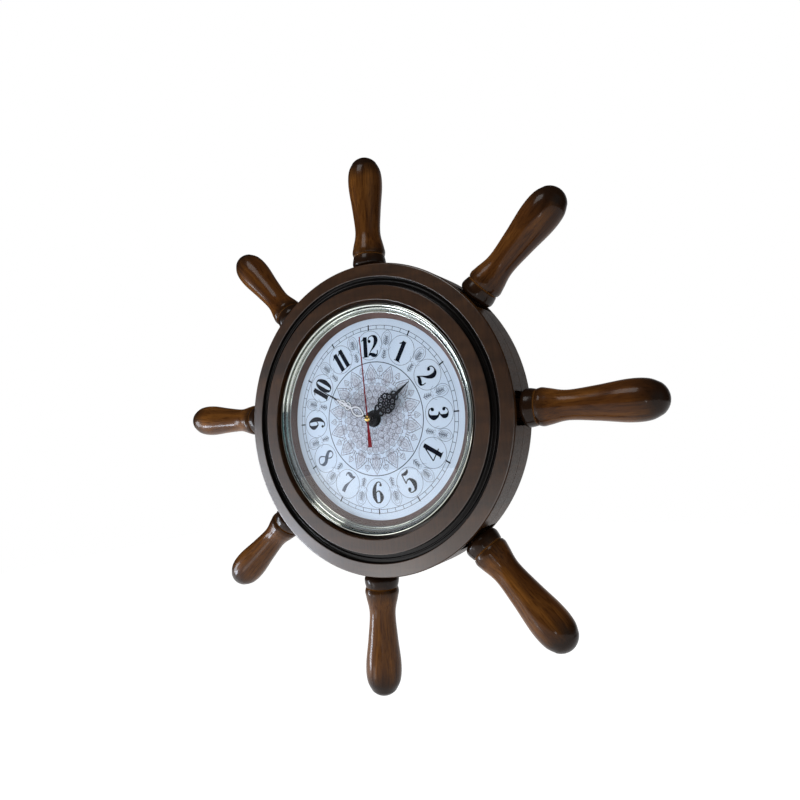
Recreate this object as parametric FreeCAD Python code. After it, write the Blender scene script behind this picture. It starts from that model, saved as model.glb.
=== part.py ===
import FreeCAD, Part
import math
import os

from FreeCAD import Vector

# Wall clock in the form of a ship's steering wheel: a round two-board wooden case with eight turned
# handles, a metal bezel with a domed glass, a printed twelve-hour dial, three hands and a battery
# movement behind the dial. Millimetres, +Z up, the dial faces -Y, the wall is the plane y = 0.
# Every piece is drawn about the clock's own axis, the Y axis, and moved down at the end, so that the
# origin of the finished part is the hole that it hangs from.

# Case
case_radius = 127.0
front_board_thickness = 18.5
rear_ring_thickness = 18.0
rear_ring_width = 47.0
edge_radius = 1.5
rear_edge_chamfer = 1.0
fit_gap = 0.2
cut_over = 1.0

# Moulding turned into the front of the case, from the rim inwards
outer_band_width = 11.2
outer_band_drop = 0.5
outer_band_fall = 0.8
groove_width = 7.2
groove_depth = 4.0
groove_wall_lean = 0.5
ridge_inset = 3.4
ridge_width = 1.7
ridge_height = 1.5
inner_band_width = 11.8
band_edge_radius = 0.5

# Bezel, metal insert, glass, surround and dial, also from outside to inside
bezel_gap = 2.2
bezel_wall = 1.2
bezel_height = 6.3
bezel_rim_radius = 1.3
rebate_depth = 8.8
dial_depth = 13.0
dial_thickness = 1.0
surround_width = 4.4
surround_seat_width = 3.1
insert_width = 5.8
insert_band_width = 1.5
insert_lip_height = 0.6
insert_ledge = 1.4
insert_bead_swell = 0.35
insert_step = 0.5
glass_edge_thickness = 1.6
glass_rise = 6.0

# Handles and their sockets
handle_count = 8
wheel_radius = 225.0
# Clockwise turn of each handle from its even eighth, from the top on, as the real ones stand
handle_turns = (0.3, 2.9, 0.7, 3.6, 2.3, 5.5, 3.5, 3.4)
socket_width = 25.0
socket_half_depth = 14.0
socket_depth = 9.5
tenon_radius = 8.0
tenon_length = 17.5
tenon_clearance = 0.05
shoulder_gap = 0.3
collar_radius = 14.1
collar_length = 10.4
collar_groove_depth = 0.8
belly_radius = 14.5
tip_radius = 10.4
tip_rise = 5.0
# Along the free handle, and out from its axis as a share of the belly's radius
HANDLE_CURVE_SHARES = ((0.12, 0.93), (0.15, 0.965), (0.20, 0.90), (0.33, 0.74), (0.53, 0.84),
                       (0.74, 1.0), (0.87, 0.955))
COLLAR_CURVE_SHARES = ((0.0, 0.64), (0.1, 0.87), (0.32, 0.995), (0.6, 1.0), (1.0, 0.94))

# Wall hanger and screws
hanging_hole_inset = 6.0
hanging_hole_radius = 3.0
hanger_thickness = 1.2
hanger_width = 22.0
hanger_hold_length = 20.0
hanger_screw_spacing = 12.0
hanger_screw_inset = 8.0
screw_radius = 1.5
screw_head_radius = 3.0
screw_head_height = 1.6
screw_length = 11.0
board_screw_count = 8
board_screw_radius = 2.0
board_screw_head = 4.0
board_screw_sink = 4.0
board_screw_inset = 10.0
board_screw_length = 15.5
screw_slot_width = 0.7

# Movement case
washer_thickness = 0.5
washer_radius = 11.0
movement_thickness = 16.0
movement_wall = 1.0
movement_corner = 3.5
cover_split = 7.0
bushing_radius = 4.0
bushing_show = 0.6
board_hole_clearance = 0.3
plain_washer_radius = 7.0
plain_washer_thickness = 0.6
nut_across = 10.4
nut_thickness = 2.5
bearing_depth = 0.8
boss_radius = 1.6

# Running fits
run_clearance = 0.06
pivot_radius = 0.4
arbor_radius = 0.6
seconds_arbor_radius = 0.5
minute_pipe_radius = 1.5
hour_pipe_radius = 2.5

# Gear train: teeth and modules
rotor_teeth = 10
intermediate_teeth = 60
intermediate_pinion_teeth = 12
second_teeth = 60
second_pinion_teeth = 8
third_teeth = 64
third_pinion_teeth = 8
centre_teeth = 60
cannon_teeth = 12
motion_teeth = 36
motion_pinion_teeth = 10
hour_teeth = 40
rotor_module = 0.25
intermediate_module = 0.30
third_module = 0.32
centre_module = third_module * (second_pinion_teeth + third_teeth) / (third_pinion_teeth + centre_teeth)
motion_module = 0.50
hour_module = motion_module * (cannon_teeth + motion_teeth) / (motion_pinion_teeth + hour_teeth)
third_direction = 60.0
motion_direction = 180.0
intermediate_direction = 130.0
rotor_direction = 90.0
wheel_thickness = 0.8

# Depth of each layer behind the front face of the movement
hour_wheel_depth = 1.5
motion_wheel_depth = 3.0
centre_wheel_depth = 4.4
bridge_depth = 5.7
bridge_thickness = 0.7
third_wheel_depth = 6.9
second_wheel_depth = 8.5
intermediate_wheel_depth = 10.1
pinion_overhang = 0.2
stator_depth = 12.1
stator_thickness = 1.0
magnet_radius = 3.1
magnet_depth = 11.6
magnet_thickness = 2.0

# Electrical parts
battery_radius = 7.25
battery_length = 49.2
battery_nub_radius = 2.7
battery_nub_length = 1.3
battery_edge_radius = 0.7
battery_height = -19.2
battery_depth = 8.6
battery_end_room = 2.75
battery_floor_room = 1.55
contact_thickness = 0.4
contact_width = 9.0
contact_depth = 11.0
contact_stub_radius = 2.4
cradle_place = 15.0
cradle_width = 1.5
cradle_depth = 4.5
cradle_half_height = 6.0
core_height = 23.4
core_width = 2.4
core_left = -14.0
core_side_inset = 5.8
coil_left = 1.0
coil_side_inset = 3.7
coil_radius = 2.3
bobbin_radius = 1.6
bobbin_flange = 0.7
stator_pole_radius = 3.6
stator_pole_width = 2.2
stator_bar_bottom = 14.6
stator_bar_top = 18.0
board_width = 16.2
board_bottom = -9.5
board_top = 7.5
board_depth = 11.6
board_thickness = 0.8
post_radius = 1.0
post_inset = 1.3
crystal_radius = 1.5
crystal_length = 7.0
crystal_inset = 3.0
bridge_side_inset = 2.0
bridge_bottom = -9.8
bridge_top = 26.0
pillar_radius = 1.5
pillar_inset = 2.0

# Hands
hour_angle = 55.0
minute_angle = 299.8
second_angle = 357.2
hand_thickness = 0.4
hour_hand_lift = 4.1
minute_hand_lift = 6.4
second_hand_lift = 9.2
hour_hand_share = 0.566
hour_boss_radius = 5.7
hour_boss_height = 1.3
hour_leaf_start = 9.0
hour_leaf_end = 30.0
hour_leaf_radius = 8.6
hour_pointer_width = 1.5
hour_leaf_hole_count = 6
minute_hand_share = 0.645
minute_boss_radius = 3.2
minute_boss_height = 1.2
minute_loop_start = 6.5
minute_loop_end = 21.0
minute_loop_radius = 3.6
minute_loop_bar = 1.3
minute_knot_place = 28.0
minute_knot_radius = 2.6
minute_pointer_width = 1.2
second_hand_share = 0.819
second_tail_length = 23.5
second_tail_width = 3.4
second_hand_width = 0.9
second_hand_thickness = 0.3
second_tube_radius = 1.2
second_tube_height = 1.3
cap_radius = 2.6
cap_height = 1.8
cap_flange = 0.4

# Setting knob
knob_radius = 6.0
knob_height = 2.2
knob_gap = 0.4
knob_slot_depth = 0.6
knob_rib_count = 24
knob_rib_radius = 0.45

case_depth = front_board_thickness + rear_ring_thickness
joint_plane = -rear_ring_thickness
face = -case_depth
recess_floor = face + dial_depth + dial_thickness
dial_face = face + dial_depth
rebate_floor = face + rebate_depth
outer_band_radius = case_radius - outer_band_width
ridge_radius = outer_band_radius - ridge_inset
groove_inner_radius = outer_band_radius - groove_width
inner_band_radius = groove_inner_radius - inner_band_width
bezel_outer_radius = inner_band_radius - bezel_gap
glass_front = rebate_floor - bezel_height + bezel_rim_radius
glass_seat = glass_front + glass_edge_thickness
glass_edge_radius = bezel_outer_radius - bezel_wall - fit_gap
insert_inner_radius = glass_edge_radius - insert_width
insert_band_radius = insert_inner_radius + insert_band_width
recess_radius = insert_inner_radius + surround_seat_width
dial_sight_radius = insert_inner_radius - surround_width
hour_hand_length = dial_sight_radius * hour_hand_share
minute_hand_length = dial_sight_radius * minute_hand_share
second_hand_length = dial_sight_radius * second_hand_share
socket_floor_radius = case_radius - socket_depth
tenon_inner_radius = socket_floor_radius - tenon_length
cavity_radius = case_radius - rear_ring_width
board_screw_circle_radius = cavity_radius + board_screw_inset
hanging_height = cavity_radius - hanging_hole_inset
hanger_top = cavity_radius + hanger_hold_length
hanger_screw_height = hanger_top - hanger_screw_inset
movement_front = joint_plane + washer_thickness
movement_back = movement_front + movement_thickness
battery_half_length = (battery_length + battery_nub_length) * 0.5
movement_half_width = battery_half_length + battery_end_room
movement_half_height = battery_radius + battery_floor_room - battery_height
bridge_half_width = movement_half_width - bridge_side_inset
core_right = movement_half_width - core_side_inset
coil_right = core_right - coil_side_inset
board_right = core_right
board_left = board_right - board_width

OUT = "parts"
AXIS = Vector(0, 1, 0)
ORIGIN = Vector(0, 0, 0)
FULL_TURN = 360.0
QUARTER_TURN = 90.0
HALF = 0.5
SIX_SIDES = 6


def save(name, shape):
    """Move a finished piece down from the clock's axis to the hanging hole and write it."""
    placed = shape.copy()
    placed.translate(Vector(0, 0, -hanging_height))
    placed.exportStep(os.path.join(OUT, name + ".step"))
    solids = placed.Solids
    print(name, "solids", len(solids), "volume", round(placed.Volume, 1), "valid", placed.isValid())


def rod(radius, front, back, x=0.0, z=0.0):
    """A round bar along Y, from y = front to y = back."""
    return Part.makeCylinder(radius, back - front, Vector(x, front, z), AXIS)


def tube(outer, inner, front, back, x=0.0, z=0.0):
    """A round pipe along Y."""
    return rod(outer, front, back, x, z).cut(rod(inner, front - cut_over, back + cut_over, x, z))


def block(left, right, front, back, bottom, top):
    """A box between two corners."""
    return Part.makeBox(right - left, back - front, top - bottom, Vector(left, front, bottom))


def around(shape, degrees):
    """Turn a copy clockwise about the clock's axis, as seen from the front."""
    turned_shape = shape.copy()
    turned_shape.rotate(ORIGIN, AXIS, degrees)
    return turned_shape


def line(a, b):
    """A straight edge between two (radius, y) points in the plane that a lathe tool cuts."""
    return Part.LineSegment(Vector(a[0], a[1], 0), Vector(b[0], b[1], 0)).toShape()


def arc(a, b, c):
    """An arc through three (radius, y) points."""
    return Part.Arc(Vector(a[0], a[1], 0), Vector(b[0], b[1], 0), Vector(c[0], c[1], 0)).toShape()


def lathe(points):
    """Turn a closed outline of (radius, y) points about the clock's axis."""
    edges = [line(a, b) for a, b in zip(points, points[1:] + points[:1])]
    return spin(edges)


def spin(edges):
    """Turn closed edges about the clock's axis."""
    outline = Part.Face(Part.Wire(edges))
    return outline.revolve(ORIGIN, AXIS, FULL_TURN)


def dome_arc(radius, base, rise):
    """A spherical arc, centred on the axis, from its rim to the top that stands rise in front of it."""
    sphere = (radius * radius + rise * rise) / (rise + rise)
    half_radius = radius * HALF
    sink = sphere - math.sqrt(sphere * sphere - half_radius * half_radius)
    return arc((radius, base), (half_radius, base - rise + sink), (0, base - rise))


def bulge(a, b, swell):
    """An arc between two points whose middle stands swell in front of the straight line."""
    middle = ((a[0] + b[0]) * HALF, (a[1] + b[1]) * HALF - swell)
    return arc(a, middle, b)


def corner_round(corner, before, after, radius):
    """Start, middle and end of a quarter-like round at a corner between two directions."""
    start = (corner[0] + before[0] * radius, corner[1] + before[1] * radius)
    end = (corner[0] + after[0] * radius, corner[1] + after[1] * radius)
    centre = (corner[0] + (before[0] + after[0]) * radius, corner[1] + (before[1] + after[1]) * radius)
    away = math.hypot(corner[0] - centre[0], corner[1] - centre[1])
    middle = tuple(centre[i] + (corner[i] - centre[i]) * radius / away for i in range(2))
    return start, middle, end


def polar(distance, degrees):
    """A point on the dial plane: distance from the axis, degrees clockwise from twelve."""
    turn = math.radians(degrees)
    return distance * math.sin(turn), distance * math.cos(turn)


def flat_shape(points, front, back):
    """A plate along Y with an outline of (x, z) points."""
    corners = [Vector(x, front, z) for x, z in points]
    outline = Part.makePolygon(corners + corners[:1])
    return Part.Face(outline).extrude(Vector(0, back - front, 0))


def make_front_board():
    """Front board of the case: moulded face, bezel rebate, dial recess and shaft hole."""
    outer_face = face + outer_band_drop
    groove_floor = face + groove_depth
    rim = (case_radius, outer_face + outer_band_fall)
    start, middle, end = corner_round(rim, (0, 1), (-1, 0), edge_radius)
    lip = (inner_band_radius, face)
    lip_start, lip_middle, lip_end = corner_round(lip, (1, 0), (0, 1), band_edge_radius)
    half_ridge = ridge_width * HALF
    ridge_left = (ridge_radius + half_ridge, groove_floor)
    ridge_top = (ridge_radius, groove_floor - ridge_height)
    ridge_right = (ridge_radius - half_ridge, groove_floor)
    hole = bushing_radius + board_hole_clearance
    path = [
        line((hole, joint_plane), (case_radius, joint_plane)),
        line((case_radius, joint_plane), start),
        arc(start, middle, end),
        line(end, (outer_band_radius, outer_face)),
        line((outer_band_radius, outer_face), (outer_band_radius - groove_wall_lean, groove_floor)),
        line((outer_band_radius - groove_wall_lean, groove_floor), ridge_left),
        arc(ridge_left, ridge_top, ridge_right),
        line(ridge_right, (groove_inner_radius + groove_wall_lean, groove_floor)),
        line((groove_inner_radius + groove_wall_lean, groove_floor), (groove_inner_radius, face)),
        line((groove_inner_radius, face), lip_start),
        arc(lip_start, lip_middle, lip_end),
        line(lip_end, (inner_band_radius, rebate_floor)),
        line((inner_band_radius, rebate_floor), (recess_radius, rebate_floor)),
        line((recess_radius, rebate_floor), (recess_radius, recess_floor)),
        line((recess_radius, recess_floor), (hole, recess_floor)),
        line((hole, recess_floor), (hole, joint_plane)),
    ]
    board = spin(path)
    for cutter in socket_cutters():
        board = board.cut(cutter)
    for x, z in board_screw_places():
        board = board.cut(rod(board_screw_radius, board_screw_tip(), joint_plane + cut_over, x, z))
    return board


def make_rear_ring():
    """Rear ring of the case: open in the middle for the movement, with the other half of each socket."""
    bottom = -rear_edge_chamfer
    ring = lathe([
        (cavity_radius, joint_plane),
        (case_radius, joint_plane),
        (case_radius, bottom),
        (case_radius - rear_edge_chamfer, 0),
        (cavity_radius, 0),
    ])
    for cutter in socket_cutters():
        ring = ring.cut(cutter)
    ring = ring.cut(hanger_outline(fit_gap, cut_over))
    for x, z in hanger_screw_places():
        ring = ring.cut(rod(screw_radius, -screw_length, 0, x, z))
        ring = ring.cut(screw_head(screw_radius, screw_head_radius, 0, x, z))
    for x, z in board_screw_places():
        ring = ring.cut(rod(board_screw_radius, joint_plane - cut_over, cut_over, x, z))
        ring = ring.cut(screw_head(board_screw_radius, board_screw_head, -board_screw_sink, x, z))
        ring = ring.cut(rod(board_screw_head + fit_gap, -board_screw_sink, cut_over, x, z))
    return ring


def handle_angle(index):
    """Degrees clockwise from twelve of one handle."""
    return index * FULL_TURN / handle_count + handle_turns[index % len(handle_turns)]


def socket_cutters():
    """One cutter for each handle: a square-cornered mortise in the rim and a round hole for the tenon."""
    half = socket_width * HALF
    mortise = block(-half, half, joint_plane - socket_half_depth, joint_plane + socket_half_depth,
                    socket_floor_radius, case_radius + cut_over)
    hole_radius = tenon_radius + tenon_clearance
    hole_length = socket_floor_radius - tenon_inner_radius + fit_gap + cut_over
    hole = Part.makeCylinder(hole_radius, hole_length,
                             Vector(0, joint_plane, tenon_inner_radius - fit_gap), Vector(0, 0, 1))
    cutter = mortise.fuse(hole)
    return [around(cutter, handle_angle(index)) for index in range(handle_count)]


def make_handle():
    """One turned handle at twelve o'clock: tenon, round shoulder, grooved collar, neck, belly and tip."""
    seat = case_radius + shoulder_gap
    length = wheel_radius - seat
    root = tenon_inner_radius

    def at(height, radius):
        return Vector(radius, joint_plane, height)

    collar_points = [at(seat + along * collar_length, radius * collar_radius)
                     for along, radius in COLLAR_CURVE_SHARES]
    belly_points = [at(seat + along * length, radius * belly_radius)
                    for along, radius in HANDLE_CURVE_SHARES]
    rim = at(wheel_radius - tip_rise, tip_radius)
    top = at(wheel_radius, 0)
    collar = Part.BSplineCurve()
    collar.interpolate(collar_points)
    belly = Part.BSplineCurve()
    belly.interpolate(belly_points + [rim])
    notch = (collar_points[-1] + belly_points[0]) * HALF
    notch.x -= collar_groove_depth
    sphere = (tip_radius * tip_radius + tip_rise * tip_rise) / (tip_rise + tip_rise)
    half_tip = tip_radius * HALF
    crown = at(wheel_radius - sphere + math.sqrt(sphere * sphere - half_tip * half_tip), half_tip)
    edges = [
        Part.LineSegment(at(root, 0), at(root, tenon_radius)).toShape(),
        Part.LineSegment(at(root, tenon_radius), at(seat, tenon_radius)).toShape(),
        Part.LineSegment(at(seat, tenon_radius), collar_points[0]).toShape(),
        collar.toShape(),
        Part.LineSegment(collar_points[-1], notch).toShape(),
        Part.LineSegment(notch, belly_points[0]).toShape(),
        belly.toShape(),
        Part.Arc(rim, crown, top).toShape(),
        Part.LineSegment(top, at(root, 0)).toShape(),
    ]
    outline = Part.Face(Part.Wire(edges))
    return outline.revolve(Vector(0, joint_plane, 0), Vector(0, 0, 1), FULL_TURN)


def hanger_outline(margin, over):
    """The hanger plate's shape, grown by a margin for its pocket in the ring."""
    half = hanger_width * HALF + margin
    plate = block(-half, half, -hanger_thickness, over, hanging_height, hanger_top + margin)
    end = rod(half, -hanger_thickness, over, 0, hanging_height)
    return plate.fuse(end).removeSplitter()


def hanger_screw_places():
    return [(side * hanger_screw_spacing * HALF, hanger_screw_height) for side in (-1, 1)]


def board_screw_places():
    """Screws from the back, half way between the sockets."""
    places = []
    for index in range(board_screw_count):
        degrees = handle_angle(index) + HALF * FULL_TURN / handle_count
        places.append(polar(board_screw_circle_radius, degrees))
    return places


def board_screw_tip():
    return -board_screw_sink - board_screw_length


def screw_head(radius, head_radius, head_back, x, z):
    """The cone of a countersunk head, its flat face at y = head_back."""
    return Part.makeCone(radius, head_radius, screw_head_height,
                         Vector(x, head_back - screw_head_height, z), AXIS)


def wood_screw(radius, head_radius, head_back, length, x, z):
    """Countersunk screw driven towards -Y, with a cross slot in its head."""
    shank = rod(radius, head_back - length, head_back - screw_head_height, x, z)
    screw = shank.fuse(screw_head(radius, head_radius, head_back, x, z))
    slot_half = screw_slot_width * HALF
    reach = head_radius * HALF
    front = head_back - screw_head_height * HALF
    back = head_back + cut_over
    screw = screw.cut(block(x - reach, x + reach, front, back, z - slot_half, z + slot_half))
    return screw.cut(block(x - slot_half, x + slot_half, front, back, z - reach, z + reach))


def make_hanger():
    plate = hanger_outline(0, 0)
    plate = plate.cut(rod(hanging_hole_radius, -hanger_thickness - cut_over, cut_over, 0, hanging_height))
    for x, z in hanger_screw_places():
        plate = plate.cut(rod(screw_radius, -hanger_thickness - cut_over, cut_over, x, z))
        plate = plate.cut(screw_head(screw_radius, screw_head_radius, 0, x, z))
    return plate


def make_dial():
    """Dial plate, held at its rim under the surround."""
    return tube(recess_radius - fit_gap, bushing_radius + board_hole_clearance, dial_face, recess_floor)


def make_surround():
    """Sloping ring between the dial and the metal insert under the glass."""
    outer = recess_radius - fit_gap
    return lathe([
        (dial_sight_radius, dial_face),
        (outer, dial_face),
        (outer, rebate_floor),
        (insert_inner_radius, rebate_floor),
    ])


def make_insert():
    """Metal ring that carries the glass and falls in two beads towards the dial."""
    ledge = glass_edge_radius - insert_ledge
    high = (ledge, glass_seat + insert_step)
    low_front = rebate_floor - insert_lip_height
    low = (insert_band_radius, low_front - insert_step)
    inner = (insert_inner_radius, low_front)
    edges = [
        line((insert_inner_radius, rebate_floor), (glass_edge_radius, rebate_floor)),
        line((glass_edge_radius, rebate_floor), (glass_edge_radius, glass_seat)),
        line((glass_edge_radius, glass_seat), (ledge, glass_seat)),
        line((ledge, glass_seat), high),
        bulge(high, low, insert_bead_swell),
        line(low, (insert_band_radius, low_front)),
        bulge((insert_band_radius, low_front), inner, insert_bead_swell),
        line(inner, (insert_inner_radius, rebate_floor)),
    ]
    return spin(edges)


def make_glass():
    """Domed glass: two parallel spherical faces and a flat rim that lies on the insert."""
    rim = glass_edge_radius - insert_ledge
    edges = [
        dome_arc(rim, glass_seat, glass_rise),
        line((0, glass_seat - glass_rise), (0, glass_front - glass_rise)),
        dome_arc(rim, glass_front, glass_rise),
        line((rim, glass_front), (glass_edge_radius, glass_front)),
        line((glass_edge_radius, glass_front), (glass_edge_radius, glass_seat)),
        line((glass_edge_radius, glass_seat), (rim, glass_seat)),
    ]
    return spin(edges)


def make_bezel():
    """Metal bezel: a thin wall round the insert and the glass, with a round rim that holds the glass."""
    wall_inner = bezel_outer_radius - bezel_wall
    rim_inner = bezel_outer_radius - bezel_rim_radius - bezel_rim_radius
    edges = [
        line((bezel_outer_radius, rebate_floor), (bezel_outer_radius, glass_front)),
        arc((bezel_outer_radius, glass_front),
            (bezel_outer_radius - bezel_rim_radius, glass_front - bezel_rim_radius),
            (rim_inner, glass_front)),
        line((rim_inner, glass_front), (wall_inner, glass_front)),
        line((wall_inner, glass_front), (wall_inner, rebate_floor)),
        line((wall_inner, rebate_floor), (bezel_outer_radius, rebate_floor)),
    ]
    return spin(edges)


def depth(value):
    """The y of a depth behind the front face of the movement."""
    return movement_front + value


def axis_places():
    """Where the arbors stand: each centre distance is the sum of the two pitch radii."""
    def apart(teeth_a, teeth_b, module):
        return (teeth_a + teeth_b) * module * HALF

    third = polar(apart(second_pinion_teeth, third_teeth, third_module), QUARTER_TURN - third_direction)
    motion = polar(apart(cannon_teeth, motion_teeth, motion_module), QUARTER_TURN - motion_direction)
    second_gap = apart(intermediate_pinion_teeth, second_teeth, intermediate_module)
    intermediate = polar(second_gap, QUARTER_TURN - intermediate_direction)
    step = polar(apart(rotor_teeth, intermediate_teeth, rotor_module), QUARTER_TURN - rotor_direction)
    rotor = (intermediate[0] + step[0], intermediate[1] + step[1])
    return {"centre": (0.0, 0.0), "third": third, "motion": motion,
            "intermediate": intermediate, "rotor": rotor}


# Where the holes of the pierced leaf stand, and their radius, as shares of the leaf's radius
LEAF_HOLE_PLACE_SHARE = 0.58
LEAF_HOLE_RADIUS_SHARE = 0.2
# Share of the tooth pitch that a tooth fills at its root, pitch circle and tip
WHEEL_SHARES = (0.24, 0.20, 0.07)
PINION_SHARES = (0.13, 0.16, 0.08)
# Shares of the module that a tooth stands outside and inside its pitch circle
WHEEL_ADDENDUM_SHARE = 0.85
PINION_ADDENDUM_SHARE = 0.70
WHEEL_DEDENDUM_SHARE = 1.10
PINION_DEDENDUM_SHARE = 1.25


def gear(teeth, module, place, toward, front, back, pinion=False):
    """A toothed disc whose tooth, or gap on a pinion, points along the line to its partner's arbor."""
    shares = PINION_SHARES if pinion else WHEEL_SHARES
    addendum = PINION_ADDENDUM_SHARE if pinion else WHEEL_ADDENDUM_SHARE
    dedendum = PINION_DEDENDUM_SHARE if pinion else WHEEL_DEDENDUM_SHARE
    pitch_radius = teeth * module * HALF
    radii = (pitch_radius - dedendum * module, pitch_radius, pitch_radius + addendum * module)
    pitch = FULL_TURN / teeth
    line_of_centres = math.degrees(math.atan2(toward[0] - place[0], toward[1] - place[1]))
    first = line_of_centres + (pitch * HALF if pinion else 0)
    points = []
    for index in range(teeth):
        middle = first + index * pitch
        for side, order in ((-1, (0, 1, 2)), (1, (2, 1, 0))):
            for level in order:
                x, z = polar(radii[level], middle + side * shares[level] * pitch)
                points.append((place[0] + x, place[1] + z))
    return flat_shape(points, front, back)


def wheel_with_pinion(wheel, pinion, arbor, bores=()):
    """Fuse the toothed discs of one arbor and cut its bores."""
    shape = wheel.fuse([pinion] + list(arbor)).removeSplitter()
    for bore in bores:
        shape = shape.cut(bore)
    return shape


def make_rotor(places):
    """Motor pinion and arbor that carry the magnet."""
    x, z = places["rotor"]
    front = depth(intermediate_wheel_depth - pinion_overhang)
    back = depth(intermediate_wheel_depth + wheel_thickness + pinion_overhang)
    pinion = gear(rotor_teeth, rotor_module, (x, z), places["intermediate"], front, back, True)
    arbor = rod(arbor_radius, front, depth(magnet_depth + magnet_thickness), x, z)
    pivots = rod(pivot_radius, depth(bridge_depth), rear_pivot_end(), x, z)
    return pinion.fuse([arbor, pivots]).removeSplitter()


def rear_pivot_end():
    return movement_back - movement_wall - fit_gap


def make_magnet(places):
    x, z = places["rotor"]
    front = depth(magnet_depth)
    return tube(magnet_radius, arbor_radius, front, front + magnet_thickness, x, z)


def make_intermediate(places):
    x, z = places["intermediate"]
    wheel_front = depth(intermediate_wheel_depth)
    wheel = gear(intermediate_teeth, rotor_module, (x, z), places["rotor"],
                 wheel_front, wheel_front + wheel_thickness)
    pinion = gear(intermediate_pinion_teeth, intermediate_module, (x, z), places["centre"],
                  depth(second_wheel_depth - pinion_overhang), wheel_front, True)
    pivots = rod(pivot_radius, depth(bridge_depth), rear_pivot_end(), x, z)
    return wheel_with_pinion(wheel, pinion, [pivots])


def make_second_wheel(places):
    """Wheel, pinion and the long arbor that carries the second hand through the two pipes."""
    wheel_front = depth(second_wheel_depth)
    wheel = gear(second_teeth, intermediate_module, (0, 0), places["intermediate"],
                 wheel_front, wheel_front + wheel_thickness)
    pinion = gear(second_pinion_teeth, third_module, (0, 0), places["third"],
                  depth(third_wheel_depth - pinion_overhang), wheel_front, True)
    arbor = rod(seconds_arbor_radius, second_hand_plane() - second_hand_thickness, rear_pivot_end())
    return wheel_with_pinion(wheel, pinion, [arbor])


def make_third_wheel(places):
    x, z = places["third"]
    wheel_front = depth(third_wheel_depth)
    wheel = gear(third_teeth, third_module, (x, z), (0, 0), wheel_front, wheel_front + wheel_thickness)
    pinion = gear(third_pinion_teeth, centre_module, (x, z), (0, 0),
                  depth(centre_wheel_depth - pinion_overhang),
                  depth(centre_wheel_depth + wheel_thickness + pinion_overhang), True)
    arbor = rod(arbor_radius, depth(centre_wheel_depth), wheel_front, x, z)
    pivots = rod(pivot_radius, depth(movement_wall - bearing_depth + fit_gap), rear_pivot_end(), x, z)
    return wheel_with_pinion(wheel, pinion, [arbor, pivots])


def make_centre_wheel(places):
    """Centre wheel, cannon pinion and the pipe that carries the minute hand."""
    wheel_front = depth(centre_wheel_depth)
    wheel = gear(centre_teeth, centre_module, (0, 0), places["third"],
                 wheel_front, wheel_front + wheel_thickness)
    pinion = gear(cannon_teeth, motion_module, (0, 0), places["motion"],
                  depth(motion_wheel_depth - pinion_overhang), wheel_front, True)
    pipe = rod(minute_pipe_radius, minute_hand_plane() - minute_boss_height, wheel_front)
    back = wheel_front + wheel_thickness
    bore = rod(seconds_arbor_radius + run_clearance, face - cut_over, back + cut_over)
    return wheel_with_pinion(wheel, pinion, [pipe], [bore])


def make_motion_wheel(places):
    """Wheel and pinion on the arbor that leads out of the back to the setting knob."""
    x, z = places["motion"]
    wheel_front = depth(motion_wheel_depth)
    wheel = gear(motion_teeth, motion_module, (x, z), (0, 0), wheel_front, wheel_front + wheel_thickness)
    pinion = gear(motion_pinion_teeth, hour_module, (x, z), (0, 0),
                  depth(hour_wheel_depth - pinion_overhang), wheel_front, True)
    arbor = rod(arbor_radius, wheel_front, rear_arbor_end(), x, z)
    pivot = rod(pivot_radius, depth(movement_wall - bearing_depth + fit_gap), wheel_front, x, z)
    return wheel_with_pinion(wheel, pinion, [arbor, pivot])


def rear_arbor_end():
    """Where the arbor that carries the setting knob ends, just inside the movement's back."""
    return movement_back - fit_gap


def make_hour_wheel(places):
    """Hour wheel and the pipe that carries the hour hand."""
    wheel_front = depth(hour_wheel_depth)
    back = wheel_front + wheel_thickness
    wheel = gear(hour_teeth, hour_module, (0, 0), places["motion"], wheel_front, back)
    pipe = rod(hour_pipe_radius, hour_hand_plane() - hour_boss_height, wheel_front)
    bore = rod(minute_pipe_radius + run_clearance, face - cut_over, back + cut_over)
    return wheel.fuse(pipe).cut(bore)


def case_outline(inset, front, back):
    """The movement's outline with round corners, drawn in from the outside."""
    half_width = movement_half_width - inset
    half_height = movement_half_height - inset
    radius = max(movement_corner - inset, fit_gap)
    shape = block(-half_width, half_width, front, back, -half_height, half_height)
    upright = [edge for edge in shape.Edges if abs(edge.Vertexes[0].Y - edge.Vertexes[-1].Y) > fit_gap]
    return shape.makeFillet(radius, upright)


def pillar_places():
    left = -bridge_half_width + pillar_inset
    low = bridge_bottom + pillar_inset
    high = bridge_top - pillar_inset
    return [(left, low), (-left, low), (left, high), (-left, high)]


def battery_cutter(front, back):
    """The battery's compartment, with the round corners of the case."""
    half = movement_half_width
    top = battery_height + battery_radius + fit_gap
    lower_part = block(-half, half, front, back, -movement_half_height, top)
    return case_outline(movement_wall, front, back).common(lower_part)


def battery_shelf(front, back):
    """Wall above the battery."""
    half = movement_half_width - movement_wall
    bottom = battery_height + battery_radius + fit_gap
    return block(-half, half, front, back, bottom, bottom + movement_wall)


def battery_body(radius):
    """The battery's cylinder without its raised end."""
    return Part.makeCylinder(radius, battery_length,
                             Vector(-battery_half_length, depth(battery_depth), battery_height),
                             Vector(1, 0, 0))


def inset_corners(left, right, bottom, top):
    """Four (x, z) points just inside the corners of a rectangle."""
    return [(x, z) for x in (left + post_inset, right - post_inset)
            for z in (bottom + post_inset, top - post_inset)]


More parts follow.
